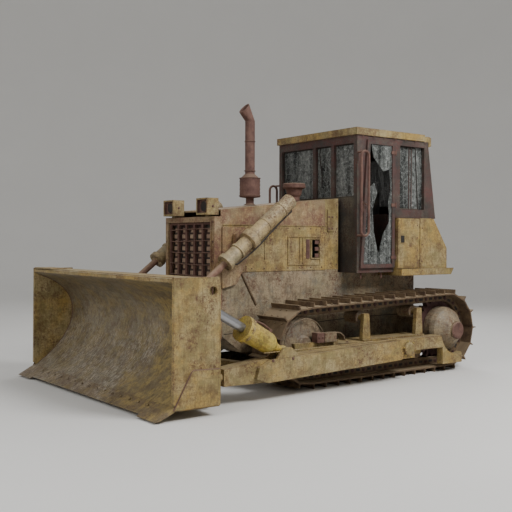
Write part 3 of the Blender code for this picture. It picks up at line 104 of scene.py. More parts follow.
class Graph:
    """A material's node tree, with short calls for the nodes that the finishes share."""

    def __init__(self, name):
        self.material = bpy.data.materials.new(name)
        self.material.use_nodes = True
        self.tree = self.material.node_tree
        self.shader = self.tree.nodes["Principled BSDF"]
        self.place = self.add("ShaderNodeTexCoord").outputs["Object"]

    def add(self, kind, **settings):
        node = self.tree.nodes.new(kind)
        for key, value in settings.items():
            setattr(node, key, value)
        return node

    def link(self, source, socket):
        self.tree.links.new(source, socket)

    def stretched(self, scale):
        mapping = self.add("ShaderNodeMapping")
        mapping.inputs["Scale"].default_value = scale
        self.link(self.place, mapping.inputs["Vector"])
        return mapping.outputs["Vector"]

    def noise(self, scale, detail=6.0, roughness=0.6, vector=None):
        node = self.add("ShaderNodeTexNoise")
        self.link(vector or self.place, node.inputs["Vector"])
        node.inputs["Scale"].default_value = scale
        node.inputs["Detail"].default_value = detail
        node.inputs["Roughness"].default_value = roughness
        return node.outputs["Fac"]

    def step(self, value, low, high):
        node = self.add("ShaderNodeMapRange", clamp=True)
        self.link(value, node.inputs["Value"])
        node.inputs["From Min"].default_value = low
        node.inputs["From Max"].default_value = high
        return node.outputs["Result"]

    def maths(self, operation, a, b):
        node = self.add("ShaderNodeMath", operation=operation, use_clamp=True)
        for socket, value in zip(node.inputs, (a, b)):
            if isinstance(value, (int, float)):
                socket.default_value = value
            else:
                self.link(value, socket)
        return node.outputs["Value"]

    def mix(self, share, a, b):
        node = self.add("ShaderNodeMix", data_type="RGBA")
        self.link(share, node.inputs["Factor"])
        for socket, value in ((node.inputs["A"], a), (node.inputs["B"], b)):
            if isinstance(value, tuple):
                socket.default_value = (*value, 1.0)
            else:
                self.link(value, socket)
        return node.outputs["Result"]

    def upward(self):
        """How far the surface faces up, from 0 to 1."""
        normal = self.add("ShaderNodeNewGeometry").outputs["Normal"]
        parts = self.add("ShaderNodeSeparateXYZ")
        self.link(normal, parts.inputs["Vector"])
        return self.step(parts.outputs["Z"], 0.3, 0.95)

    def edges(self, radius):
        """Worn edges: where a rounded normal leaves the true one."""
        rounded = self.add("ShaderNodeBevel", samples=4)
        rounded.inputs["Radius"].default_value = radius
        normal = self.add("ShaderNodeNewGeometry").outputs["Normal"]
        same = self.add("ShaderNodeVectorMath", operation="DOT_PRODUCT")
        self.link(rounded.outputs["Normal"], same.inputs[0])
        self.link(normal, same.inputs[1])
        return self.step(self.maths("SUBTRACT", 1.0, same.outputs["Value"]), 0.02, 0.18)

    def finish(self, colour, roughness, height, strength, distance=0.004, metallic=0.0):
        self.link(colour, self.shader.inputs["Base Color"])
        self.link(roughness, self.shader.inputs["Roughness"])
        self.shader.inputs["Metallic"].default_value = metallic
        bump = self.add("ShaderNodeBump")
        bump.inputs["Strength"].default_value = strength
        bump.inputs["Distance"].default_value = distance
        self.link(height, bump.inputs["Height"])
        self.link(bump.outputs["Normal"], self.shader.inputs["Normal"])
        return self.material


def weathered(name, paint, faded, rust, rusting, grime=0.5, wear=0.012):
    """Old paint: faded and stained in clouds, brushed by dirt, rusting in clusters, worn at edges."""
    g = Graph(name)
    brown = tuple(0.26 * c + 0.34 * r for c, r in zip(paint, rust))
    olive = (paint[0] * 0.56, paint[1] * 0.68, paint[2] * 0.92)
    clouds = g.step(g.noise(1.9, 10.0, 0.72), 0.42, 0.58)
    green = g.step(g.noise(2.9, 12.0, 0.80), 0.48, 0.57)
    stains = g.step(g.noise(5.3, 14.0, 0.84), 0.50, 0.59)
    across = g.noise(1.0, 10.0, 0.78, g.stretched((5.0, 5.0, 34.0)))
    down = g.noise(1.0, 10.0, 0.78, g.stretched((30.0, 30.0, 4.0)))
    patches = g.step(g.noise(3.3, 10.0, 0.76), 0.50 - rusting * 0.08, 0.60)
    flecks = g.noise(36.0, 10.0, 0.86)
    grit = g.noise(62.0, 6.0, 0.86)
    colour = g.mix(clouds, paint, faded)
    colour = g.mix(g.maths("MULTIPLY", green, 0.80), colour, olive)
    colour = g.mix(g.maths("MULTIPLY", stains, 0.80), colour, brown)
    colour = g.mix(g.maths("MULTIPLY", g.step(across, 0.51, 0.61), grime * 0.8), colour, brown)
    streaks = g.maths("MULTIPLY", g.step(down, 0.51, 0.62), grime)
    colour = g.mix(streaks, colour, tuple(c * 0.6 for c in brown))
    colour = g.mix(g.maths("MULTIPLY", g.step(grit, 0.50, 0.62), 0.65), colour, brown)
    spots = g.maths("MULTIPLY", g.step(flecks, 0.53 - rusting * 0.08, 0.58 - rusting * 0.08), patches)
    colour = g.mix(spots, colour, rust)
    worn = g.maths("MULTIPLY", g.edges(wear), g.step(flecks, 0.36, 0.58))
    colour = g.mix(worn, colour, tuple(c * 0.6 for c in rust))
    dust = g.maths("MULTIPLY", g.maths("MULTIPLY", g.upward(), 0.45), g.step(grit, 0.25, 0.8))
    colour = g.mix(dust, colour, (0.40, 0.32, 0.20))
    height = g.maths("ADD", g.maths("MULTIPLY", spots, 0.6), g.maths("MULTIPLY", grit, 0.35))
    return g.finish(colour, g.step(g.maths("ADD", spots, flecks), -0.9, 1.5), height, 0.6)


def scoured(name, khaki, grey, rust, paint, metallic=0.2):
    """A face that earth slides on: paint left on the machine's left, scoured grey on its right, and pale
    streaks of painted reflection low on its right.
    """
    g = Graph(name)
    parts = g.add("ShaderNodeSeparateXYZ")
    g.link(g.place, parts.inputs["Vector"])
    far = g.step(g.maths("ADD", g.step(parts.outputs["X"], 1.7, -1.6), g.noise(1.3, 9.0, 0.7)), 0.75, 1.15)
    low = g.step(parts.outputs["Z"], 1.15, 0.45)
    mottle = g.step(g.noise(6.0, 13.0, 0.86), 0.47, 0.57)
    remains = g.step(g.noise(3.3, 13.0, 0.84), 0.47, 0.55)
    flecks = g.noise(30.0, 12.0, 0.88)
    scratches = g.noise(1.0, 9.0, 0.84, g.stretched((30.0, 7.0, 7.0)))
    clouds = g.step(g.noise(1.7, 11.0, 0.80), 0.44, 0.58)
    colour = g.mix(far, khaki, grey)
    colour = g.mix(g.maths("MULTIPLY", clouds, 0.75), colour, tuple(c * 0.42 for c in khaki))
    colour = g.mix(g.maths("MULTIPLY", mottle, 0.60), colour, rust)
    left = g.maths("SUBTRACT", 1.0, far)
    colour = g.mix(g.maths("MULTIPLY", remains, g.maths("ADD", g.maths("MULTIPLY", left, 0.65), 0.12)),
                   colour, paint)
    lines = g.maths("MULTIPLY", g.step(scratches, 0.51, 0.60), 0.60)
    colour = g.mix(lines, colour, tuple(c * 0.5 for c in rust))
    specks = g.maths("MULTIPLY", g.step(flecks, 0.54, 0.60), 0.6)
    colour = g.mix(specks, colour, tuple(c * 0.45 for c in rust))
    # Pale streaks low on the machine's right are painted reflection, laid over the grey in streak shapes.
    strokes = g.noise(1.0, 12.0, 0.88, g.stretched((44.0, 15.0, 15.0)))
    reflection_streaks = g.maths("MULTIPLY", g.step(strokes, 0.48, 0.58), g.step(g.noise(2.6, 10.0, 0.80), 0.38, 0.54))
    bright = g.maths("MULTIPLY", g.maths("MULTIPLY", reflection_streaks, far), low)
    colour = g.mix(g.maths("MULTIPLY", bright, 0.9), colour, (0.62, 0.57, 0.49))
    height = g.maths("ADD", g.maths("MULTIPLY", flecks, 0.7), g.maths("MULTIPLY", scratches, 0.3))
    return g.finish(colour, g.step(flecks, -0.3, 1.1), height, 0.7, metallic=metallic)


def rusty(name, low, high, metallic=0.15, dusting=0.5):
    """Bare iron, rusted in clouds between two browns and dusty where it faces up."""
    g = Graph(name)
    cloud = g.step(g.noise(7.0, 10.0, 0.75), 0.36, 0.64)
    grit = g.noise(130.0, 6.0, 0.8)
    colour = g.mix(cloud, low, high)
    colour = g.mix(g.step(grit, 0.55, 0.75), colour, tuple(c * 0.45 for c in low))
    dust = g.maths("MULTIPLY", g.upward(), dusting)
    colour = g.mix(dust, colour, (0.38, 0.30, 0.19))
    return g.finish(colour, g.step(grit, -1.6, 1.1), grit, 0.55, 0.003, metallic)


def polished(name):
    """Chrome with lengthwise scratches and rust spots, its grey held low as painted reflection of dark
    surroundings.
    """
    g = Graph(name)
    scratches = g.noise(1.0, 5.0, 0.7, g.stretched((60.0, 6.0, 60.0)))
    spots = g.step(g.noise(38.0, 8.0, 0.75), 0.60, 0.68)
    # The low grey is painted reflection: it stands in for the dark things the chrome reflects. The brown
    # spots are rust.
    colour = g.mix(spots, (0.36, 0.36, 0.37), (0.12, 0.075, 0.05))
    return g.finish(colour, g.step(scratches, -0.1, 1.6), scratches, 0.12, 0.001, 0.95)


def grimy_glass(name):
    """Dark glass, crazed and run with pale dirt, which is thick enough in places to hide behind."""
    g = Graph(name)
    runs = g.noise(1.0, 9.0, 0.70, g.stretched((4.0, 4.0, 0.40)))
    mottle = g.noise(19.0, 13.0, 0.86)
    cracks = g.add("ShaderNodeTexVoronoi", feature="DISTANCE_TO_EDGE")
    cracks.inputs["Scale"].default_value = 13.0
    g.link(g.place, cracks.inputs["Vector"])
    crazing = g.maths("MULTIPLY", g.step(cracks.outputs["Distance"], 0.035, 0.0), g.step(mottle, 0.44, 0.60))
    dirt = g.maths("MULTIPLY", g.step(runs, 0.40, 0.56), g.step(mottle, 0.36, 0.60))
    colour = g.mix(dirt, (0.011, 0.013, 0.012), (0.215, 0.225, 0.213))
    colour = g.mix(crazing, colour, (0.50, 0.52, 0.50))
    g.link(g.maths("ADD", g.maths("MULTIPLY", dirt, 0.30), 0.68), g.shader.inputs["Alpha"])
    return g.finish(colour, g.step(mottle, 0.05, 1.5), mottle, 0.10, 0.001)


def vinyl(name):
    """Worn seat covering with a fine grain."""
    g = Graph(name)
    grain = g.add("ShaderNodeTexVoronoi")
    grain.inputs["Scale"].default_value = 260.0
    g.link(g.place, grain.inputs["Vector"])
    colour = g.mix(g.step(g.noise(6.0, 8.0), 0.42, 0.66), (0.035, 0.033, 0.031), (0.15, 0.13, 0.10))
    return g.finish(colour, g.step(g.noise(30.0), -0.6, 1.2), grain.outputs["Distance"], 0.3, 0.002)


TAN, PALE, RUST = (0.350, 0.235, 0.066), (0.35, 0.28, 0.138), (0.100, 0.042, 0.023)
paint = weathered("worn_tan_paint", TAN, PALE, RUST, 0.5)
paint_pale = weathered("pale_cylinder_paint", (0.36, 0.265, 0.12), (0.42, 0.335, 0.19), RUST, 0.5, 0.5)
paint_bright = weathered("bright_yellow_paint", (0.56, 0.39, 0.050), (0.44, 0.33, 0.11), RUST, 0.2, 0.4)
paint_grey = weathered("grey_green_hull_paint", (0.27, 0.225, 0.135), (0.34, 0.26, 0.165), RUST, 0.6)
paint_rusty = weathered("rusting_hood_paint", (0.37, 0.25, 0.095), (0.36, 0.265, 0.155),
                        (0.135, 0.060, 0.038), 1.2)
wheel_paint = weathered("brown_wheel_paint", (0.235, 0.180, 0.105), (0.31, 0.245, 0.145), RUST, 0.6, 0.6)
pillar = weathered("dark_cab_frame", (0.034, 0.029, 0.022), (0.085, 0.074, 0.056),
                   (0.085, 0.034, 0.028), 1.2, 0.3)
lower_panel = weathered("brown_cab_panel", (0.046, 0.040, 0.030), (0.105, 0.090, 0.062),
                        (0.055, 0.029, 0.019), 0.5)
SCOURED_PAINT = (0.34, 0.25, 0.085)
# Both scoured finishes carry pale streaks of painted reflection low on the machine's right.
scoured_face = scoured("scoured_mouldboard", (0.215, 0.170, 0.090), (0.205, 0.185, 0.145),
                       (0.120, 0.072, 0.042), SCOURED_PAINT)
worn_steel = scoured("worn_cutting_edge", (0.200, 0.150, 0.085), (0.180, 0.135, 0.090), (0.130, 0.075, 0.040),
                     SCOURED_PAINT)
rust_red = rusty("red_brown_rust", (0.070, 0.029, 0.023), (0.160, 0.086, 0.064), dusting=0.3)
rod_rust = rusty("rusty_rod", (0.15, 0.078, 0.052), (0.27, 0.165, 0.12), 0.35)
track_brown = rusty("dusty_track_steel", (0.066, 0.038, 0.024), (0.19, 0.13, 0.070), 0.3, 0.6)
link_maroon = rusty("maroon_link_steel", (0.050, 0.021, 0.020), (0.098, 0.048, 0.040), 0.3)
dark_iron = rusty("dark_iron", (0.012, 0.010, 0.009), (0.034, 0.026, 0.021), 0.2)
dusty_baffle = rusty("dusty_baffles", (0.22, 0.14, 0.10), (0.36, 0.26, 0.18))
chrome = polished("scratched_chrome")
glass = grimy_glass("grimy_glass")
seat_vinyl = vinyl("worn_vinyl")

YELLOW_PAINTS = (paint, wheel_paint, paint_pale, paint_bright, paint_grey, paint_rusty, scoured_face)
SLOT_OF = {**dict.fromkeys(YELLOW_PAINTS, "worn_yellow"),
           **dict.fromkeys((pillar, lower_panel, dark_iron), "dark_frame"),
           **dict.fromkeys((rust_red, dusty_baffle), "rust"),
           **dict.fromkeys((track_brown, link_maroon), "track_steel"),
           **dict.fromkeys((rod_rust, chrome), "chrome"),
           worn_steel: "bare_steel", glass: "glass", seat_vinyl: "seat_vinyl"}

BY_SLOT = {"worn_yellow": paint, "rust": rust_red, "track_steel": track_brown, "bare_steel": worn_steel,
           "chrome": chrome, "dark_frame": pillar, "glass": glass, "seat_vinyl": seat_vinyl}
OWN = {"hood": paint_rusty, "main_frame": paint_grey, "tilt_barrel": paint_bright,
       "lift_barrel_left": paint_pale, "lift_barrel_right": paint_pale,
       "lift_rod_left": rod_rust, "lift_rod_right": rod_rust, "radiator_guard": paint_rusty,
       "idler_left": wheel_paint, "idler_right": wheel_paint,
       "final_drive_left": wheel_paint, "final_drive_right": wheel_paint}

for part in frame["record"]["subparts"]:
    finish = OWN.get(part["node"], BY_SLOT[part["material_slot"]])
    for holder in nodes[part["node"]].material_slots:
        holder.material = finish


# --- shapes -----------------------------------------------------------------------------

meshes = {}


def shapes_of(name, body, finish):
    """The mesh that all the small fittings of one kind, on one body, are gathered in."""
    if name not in meshes:
        meshes[name] = (bmesh.new(), body, finish)
    return meshes[name][0]


def bar(mesh, low, high):
    """A block between two corners."""
    low, high = Vector(low), Vector(high)
    size = Matrix.Diagonal((*(high - low), 1.0))
    bmesh.ops.create_cube(mesh, size=1.0, matrix=Matrix.Translation((low + high) / 2) @ size)


def drum(mesh, start, direction, length, radius, sides=20, far_radius=None):
    """A closed round bar, tapered where its far radius differs."""
    direction = Vector(direction).normalized()
    turn = direction.to_track_quat("Z", "Y").to_matrix().to_4x4()
    place = Matrix.Translation(Vector(start) + direction * length / 2) @ turn
    bmesh.ops.create_cone(mesh, cap_ends=True, segments=sides, radius1=radius,
                          radius2=radius if far_radius is None else far_radius, depth=length, matrix=place)


def hoop(mesh, start, direction, length, inner, outer, sides=28):
    """A band round a barrel, open through its middle so that a rod can pass."""
    start, direction = Vector(start), Vector(direction).normalized()
    side = direction.orthogonal().normalized()
    other = direction.cross(side)
    angles = [2 * math.pi * n / sides for n in range(sides)]
    rings = [[mesh.verts.new(start + direction * along + (side * math.cos(a) + other * math.sin(a)) * radius)
              for a in angles]
             for along, radius in ((0, inner), (0, outer), (length, outer), (length, inner))]
    faces = [mesh.faces.new((near[n - 1], near[n], far[n], far[n - 1]))
             for near, far in zip(rings, rings[1:] + rings[:1]) for n in range(sides)]
    bmesh.ops.recalc_face_normals(mesh, faces=faces)


def bolt(mesh, at, direction, size=0.014):
    """A washer, a hexagon head and its chamfered crown."""
    at, direction = Vector(at), Vector(direction).normalized()
    drum(mesh, at, direction, size * 0.25, size * 1.45, 14)
    drum(mesh, at + direction * size * 0.2, direction, size * 0.65, size, 6)
    drum(mesh, at + direction * size * 0.85, direction, size * 0.18, size, 6, size * 0.72)


def bolt_ring(mesh, centre, direction, radius, count, size=0.014):
    """Bolts at equal angles on a circle."""
    direction = Vector(direction).normalized()
    side = direction.orthogonal().normalized()
    other = direction.cross(side)
    for n in range(count):
        angle = 2 * math.pi * n / count
        out = side * math.cos(angle) + other * math.sin(angle)
        bolt(mesh, Vector(centre) + out * radius, direction, size)


def plate(mesh, outline, x_low, x_high):
    """A flat plate across X, with its outline given as Y and Z."""
    near = [mesh.verts.new((x_low, y, z)) for y, z in outline]
    far = [mesh.verts.new((x_high, y, z)) for y, z in outline]
    faces = [mesh.faces.new(near), mesh.faces.new(far)]
    for n in range(len(near)):
        faces.append(mesh.faces.new((near[n - 1], near[n], far[n], far[n - 1])))
    bmesh.ops.recalc_face_normals(mesh, faces=faces)


def sweep(mesh, points, radius, sides=10):
    """A round bar or weld bead along points, with closed ends."""
    points = [Vector(p) for p in points]
    rings = []
    side = (points[1] - points[0]).orthogonal().normalized()
    for n, point in enumerate(points):
        along = (points[min(n + 1, len(points) - 1)] - points[max(n - 1, 0)]).normalized()
        side = (side - along * side.dot(along)).normalized()
        other = along.cross(side)
        rings.append([mesh.verts.new(point + (side * math.cos(a) + other * math.sin(a)) * radius)
                      for a in (2 * math.pi * k / sides for k in range(sides))])
    faces = [mesh.faces.new(rings[0]), mesh.faces.new(rings[-1])]
    for near, far in zip(rings, rings[1:]):
        for k in range(sides):
            faces.append(mesh.faces.new((near[k - 1], near[k], far[k], far[k - 1])))
    bmesh.ops.recalc_face_normals(mesh, faces=faces)


def spaced(first, last, count):
    """Equally spaced values, both ends among them."""
    return [first + (last - first) * n / (count - 1) for n in range(count)]


def face_bar(mesh, x, proud, y, z):
    """A flat bar standing proud of a side face, between two depths and two heights."""
    low, high = sorted((x, x + proud))
    bar(mesh, (low, y[0], z[0]), (high, y[1], z[1]))


def frame_round(mesh, x, y, z, width, proud):
    """A raised rectangular rim on a side face."""
    face_bar(mesh, x, proud, y, (z[1] - width, z[1]))
    face_bar(mesh, x, proud, y, (z[0], z[0] + width))
    face_bar(mesh, x, proud, (y[0], y[0] + width), (z[0] + width, z[1] - width))
    face_bar(mesh, x, proud, (y[1] - width, y[1]), (z[0] + width, z[1] - width))


def bezier(points, share):
    """A point on a cubic curve."""
    a, b, c, d = (Vector(p) for p in points)
    rest = 1 - share
    return a * rest ** 3 + b * 3 * rest ** 2 * share + c * 3 * rest * share ** 2 + d * share ** 3


def build_fittings():
    """Turns each gathered mesh into a piece that rides on its body, with its edges eased."""
    for name, (mesh, body, finish) in meshes.items():
        data = bpy.data.meshes.new(name)
        mesh.to_mesh(data)
        mesh.free()
        data.materials.append(finish)
        piece = bpy.data.objects.new(name, data)
        bpy.context.scene.collection.objects.link(piece)
        rounding = piece.modifiers.new("rounding", "BEVEL")
        rounding.width = 0.002
        rounding.segments = 1
        rounding.limit_method = "ANGLE"
        rounding.angle_limit = math.radians(50)
        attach(piece, body)


# --- running gear -----------------------------------------------------------------------

def pin_line(count):
    """Equally spaced pins round the track, each with its outward angle."""
    span = SPROCKET - IDLER
    lean = math.asin((SPROCKET_PIN_R - IDLER_PIN_R) / span.length)
    slope = math.atan2(span.y, span.x)
    top, bottom = slope + math.pi / 2 + lean, slope - math.pi / 2 - lean
    straight = span.length * math.cos(lean)
    wheels = ((SPROCKET, SPROCKET_PIN_R, bottom, top), (IDLER, IDLER_PIN_R, top, bottom + 2 * math.pi))
    arcs = [radius * (end - start) for _, radius, start, end in wheels]
    total = sum(arcs) + 2 * straight
    found = []
    for n in range(count):
        s = (total * n / count - SPROCKET_PIN_R * bottom) % total
        for wheel, length, (following, far, _, _) in zip(wheels, arcs, reversed(wheels)):
            centre, radius, start, end = wheel
            if 0 <= s < length:
                angle = start + s / radius
                found.append((centre + radius * Vector((math.cos(angle), math.sin(angle))), angle))
            elif length <= s < length + straight:
                out = Vector((math.cos(end), math.sin(end)))
                first, last = centre + radius * out, following + far * out
                found.append((first.lerp(last, (s - length) / straight), end))
            s -= length + straight
    return found


def dress_track(side, word):
    """Pins of the links, near-black plates of painted shade over their openings, and the bolts of the shoes.
    """
    pins = shapes_of(f"link_pins_{word}", "chassis", link_maroon)
    window_shade = shapes_of(f"link_window_shade_{word}", "chassis", dark_iron)
    bolts = shapes_of(f"shoe_bolts_{word}", "chassis", track_brown)
    line = pin_line(SHOE_COUNT)
    for n, (pin, angle) in enumerate(line):
        following = line[(n + 1) % SHOE_COUNT][0]
        out = Vector((math.cos(angle), math.sin(angle)))
        middle = pin.lerp(following, 0.5)
        along = (following - pin).normalized()
        for face in (-1, 1):
            x = side * TRACK_X + face * LINK_FACE
            drum(pins, (x, pin.x, pin.y), (face, 0, 0), 0.010, 0.027, 14)
            drum(pins, (x + face * 0.010, pin.x, pin.y), (face, 0, 0), 0.006, 0.017, 12)
            # Near-black plates over the link openings: painted shade where the links have holes.
            corners = [middle + along * a + Vector((along.y, -along.x)) * b
                       for a, b in ((-0.034, -0.018), (0.034, -0.018), (0.034, 0.018), (-0.034, 0.018))]
            plate(window_shade, [tuple(c) for c in corners], x, x + face * 0.003)
        for x in (-0.20, -0.06, 0.06, 0.20):
            for a in (-0.045, 0.045):
                foot = pin + along * a + out * SHOE_OUT
                if n % 2 == 0 or abs(x) < 0.1:
                    drum(bolts, (side * TRACK_X + x, foot.x, foot.y), (0, out.x, out.y), 0.012, 0.015, 6)


def dress_running_gear(side, word):
    """Idler cap and rim, hub cover, drive bolts, and the recoil box on the track frame."""
    discs = shapes_of(f"wheel_fittings_{word}", "chassis", wheel_paint)
    bolts = shapes_of(f"wheel_bolts_{word}", "chassis", rust_red)
    face = (side, 0, 0)
    idler_x = side * (TRACK_X + IDLER_FACE)
    drum(discs, (idler_x - side * 0.004, IDLER.x, IDLER.y), face, 0.014, 0.115, 28, 0.10)
    rim = [(idler_x - side * 0.002, IDLER.x + IDLER_RIM_R * math.cos(a), IDLER.y + IDLER_RIM_R * math.sin(a))
           for a in (2 * math.pi * n / 48 for n in range(49))]
    sweep(discs, rim, 0.007, 8)
    low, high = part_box(f"final_drive_{word}")
    hub_x = high.x if side > 0 else low.x
    hub = shapes_of(f"hub_cover_{word}", "chassis", rust_red)
    drum(hub, (hub_x - side * 0.004, SPROCKET.x, SPROCKET.y), face, 0.016, 0.125, 32, 0.108)
    bolt_ring(hub, (hub_x + side * 0.008, SPROCKET.x, SPROCKET.y), face, 0.088, 8, 0.009)
    bolt_ring(bolts, (side * DRIVE_FACE, SPROCKET.x, SPROCKET.y), face, DRIVE_BOLTS_R, 20, 0.008)
    boxes = shapes_of(f"recoil_box_{word}", "chassis", rust_red)
    x = sorted(side * end for end in RECOIL_BOX_X)
    bar(boxes, (x[0], -0.27, 0.575), (x[1], -0.15, 0.70))
    bar(discs, (x[0], -0.14, 0.575), (x[1], 0.06, 0.69))
    strap = [(0.06, 0.69), (0.13, 0.685), (0.19, 0.64), (0.215, 0.575), (0.20, 0.575), (0.18, 0.63),
             (0.125, 0.67), (0.06, 0.678)]
    plate(discs, strap, *x)
    for y in (-0.24, -0.18):
        bolt(bolts, (side * RECOIL_BOX_X[1], y, 0.64), face, 0.011)
    for y in spaced(0.35, 1.70, 5):
        bolt(bolts, (side * 1.20, y, 0.53), (0, 0, 1), 0.013)


# --- front and engine -------------------------------------------------------------------

def dress_radiator():
    """Staggered baffles, bent cross rods, and the guard's rim and bolts."""
    low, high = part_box("radiator_grille")
    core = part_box("radiator_core")[0].y
    blocks = shapes_of("core_baffles", "chassis", dusty_baffle)
    rods = shapes_of("grille_rods", "chassis", rust_red)
    bars = spaced(low.x + 0.02, high.x - 0.02, 6)
    rows = spaced(low.z + 0.09, high.z - 0.09, 8)
    for a, b in zip(bars, bars[1:]):
        middle = (a + b) / 2
        for z in spaced(low.z + 0.10, high.z - 0.10, 14):
            half = 0.052 if round((z - low.z) / BAFFLE_PITCH) % 2 else 0.030
            bar(blocks, (middle - half, core - 0.030, z - 0.026), (middle + half, core + 0.004, z + 0.026))
    for n, z in enumerate(rows):
        points = [(x, low.y - 0.006 + 0.004 * math.sin(9 * x + n), z + 0.008 * math.sin(4 * x + n))
                  for x in spaced(low.x + 0.004, high.x - 0.004, 13)]
        sweep(rods, points, 0.007, 8)
    rim = shapes_of("guard_rim", "chassis", paint_rusty)
    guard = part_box("radiator_guard")[0].y
    for x in (low.x - 0.022, high.x):
        bar(rim, (x, guard - 0.012, low.z - 0.02), (x + 0.022, guard + 0.004, high.z + 0.02))
    for z in (low.z - 0.022, high.z):
        bar(rim, (low.x, guard - 0.012, z), (high.x, guard + 0.004, z + 0.022))
    bolts = shapes_of("guard_bolts", "chassis", rust_red)
    for x in (low.x - 0.045, high.x + 0.045):
        for z in spaced(low.z, high.z, 6):
            bolt(bolts, (x, guard, z), (0, -1, 0), 0.011)


def dress_lamp(word):
    """A lined pocket with a dark lens and its rim, and the lamp's two pivot bolts."""
    low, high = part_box(f"headlight_{word}")
    middle = (low.x + high.x) / 2
    height, back = high.z - 0.1025, low.y + 0.040
    left, right, floor, top = low.x + 0.0205, high.x - 0.0205, high.z - 0.1845, high.z - 0.0205
    liner = shapes_of(f"lamp_liner_{word}", "chassis", rust_red)
    for near, far in (((left, floor), (left + 0.004, top)), ((right - 0.004, floor), (right, top)),
                      ((left, floor), (right, floor + 0.004)), ((left, top - 0.004), (right, top))):
        bar(liner, (near[0], low.y + 0.003, near[1]), (far[0], back - 0.001, far[1]))
    bar(liner, (left, back - 0.006, floor), (right, back - 0.001, top))
    lens = shapes_of(f"lamp_lens_{word}", "chassis", dark_iron)
    drum(lens, (middle, back - 0.006, height), (0, -1, 0), 0.006, 0.070, 28, 0.058)
    rim = shapes_of(f"lamp_rim_{word}", "chassis", rust_red)
    ring = [(middle + 0.073 * math.cos(a), back - 0.010, height + 0.073 * math.sin(a))
            for a in (2 * math.pi * n / 32 for n in range(33))]
    sweep(rim, ring, 0.006, 8)
    side = (low.y + high.y) / 2
    bolt(rim, (high.x, side, height), (1, 0, 0), 0.012)
    bolt(rim, (low.x, side, height), (-1, 0, 0), 0.012)


def dress_hood(side, word):
    """Vent rims and slats, seams, the cowl's hinge plate, bolts, and the strut and weld on the hull."""
    face = (side, 0, 0)
    panel_low, panel_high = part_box(f"side_panel_{word}")
    x = panel_high.x if side > 0 else panel_low.x
    rims = shapes_of(f"vent_rims_{word}", "chassis", paint)
    rust = shapes_of(f"vent_slats_{word}", "chassis", rust_red)
    vent_low, vent_high = VENT_Z
    frame_round(rims, x, (-0.13, VENT_Y[1] + 0.03), (vent_low - 0.10, vent_high + 0.05), 0.016, side * 0.010)
    frame_round(rims, x, (VENT_Y[0] - 0.03, VENT_Y[1] + 0.015), (vent_low - 0.02, vent_high + 0.02), 0.012,
                side * 0.014)
    for y in (0.075, 0.13):
        face_bar(rims, x, side * 0.009, (y, y + 0.011), (vent_low - 0.084, vent_high + 0.034))
    face_bar(rust, x, side * 0.006, (0.195, 0.262), (vent_low - 0.01, vent_high + 0.01))
    back = sorted((x - side * 0.014, x - side * 0.004))
    for z in spaced(vent_low + 0.03, vent_high - 0.03, 3):
        bar(rust, (back[0], VENT_Y[0] + 0.055, z - 0.026), (back[1], VENT_Y[1] + 0.004, z + 0.026))
    face_bar(rims, x, side * 0.008, (-1.195, 0.535), (SEAM_Z - 0.006, SEAM_Z + 0.008))
    face_bar(rims, x, side * 0.008, (-0.52, -0.508), (1.60, 1.93))
    face_bar(rims, x, side * 0.008, (-1.195, 0.535), (2.042, 2.056))
    face_bar(rims, x, side * 0.016, (0.575, 0.685), (1.98, 2.28))
    bolts = shapes_of(f"hood_bolts_{word}", "chassis", rust_red)
    for y in (0.600, 0.660):
        for z in (2.02, 2.18):
            bolt(bolts, (x + side * 0.016, y, z), face, 0.011)
    for y in spaced(-1.12, 0.48, 9):
        for z in HOOD_BOLTS_Z:
            bolt(bolts, (x, y, z), face, 0.008)
    for z in spaced(1.52, 2.35, 6):
        bolt(bolts, (x, 0.755, z), face, 0.008)
    hull = shapes_of(f"hull_welds_{word}", "chassis", dark_iron)
    struts = shapes_of(f"hull_strut_{word}", "chassis", track_brown)
    sweep(struts, [(x, -0.975, 1.585), (x, -0.773, 1.23), (x, -0.653, 1.02)], 0.017)
    sweep(hull, [(x, y, 0.72 + 0.05 * math.sin(y)) for y in spaced(-1.15, 2.25, 18)], 0.006)


def dress_stacks():
    """Bands of the muffler, its pierced holes drawn as dark studs of painted shade, its clamp, and the air
    cleaner's louvres.
    """
    bands = shapes_of("exhaust_bands", "chassis", rust_red)
    for z, radius in EXHAUST_BANDS:
        ring = [(radius * math.cos(a), EXHAUST_Y + radius * math.sin(a), z)
                for a in (2 * math.pi * n / 36 for n in range(37))]
        sweep(bands, ring, 0.006, 8)
    # The pierced holes are small rust-brown studs: their dark colour is painted shade inside the holes.
    for z in spaced(2.50, 2.66, 4):
        for n in range(14):
            angle = 2 * math.pi * n / 14
            direction = (math.cos(angle), math.sin(angle), 0)
            start = (MUFFLER_R * direction[0], EXHAUST_Y + MUFFLER_R * direction[1], z)
            drum(bands, start, direction, 0.008, 0.008, 10)
    bolt(bands, (0.072, EXHAUST_Y, 2.80), (1, 0, 0), 0.010)
    low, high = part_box("air_cleaner")
    middle = (low + high) / 2
    louvres = shapes_of("cleaner_louvres", "chassis", rust_red)
    for n in range(20):
        angle = 2 * math.pi * n / 20
        out = Vector((math.cos(angle), math.sin(angle), 0))
        base = Vector((middle.x, middle.y, high.z - 0.055)) + out * 0.150
        drum(louvres, base, (out.x, out.y, 0.5), 0.016, 0.009, 6)
    drum(louvres, (middle.x, middle.y, high.z - 0.004), (0, 0, 1), 0.003, 0.02, 20, 0.012)


# --- cab --------------------------------------------------------------------------------

def seal(mesh, corners, radius):
    """A rubber strip round a window."""
    corners = [Vector(c) for c in corners]
    for a, b in zip(corners, corners[1:] + corners[:1]):
        sweep(mesh, [a, a.lerp(b, 0.5), b], radius, 8)


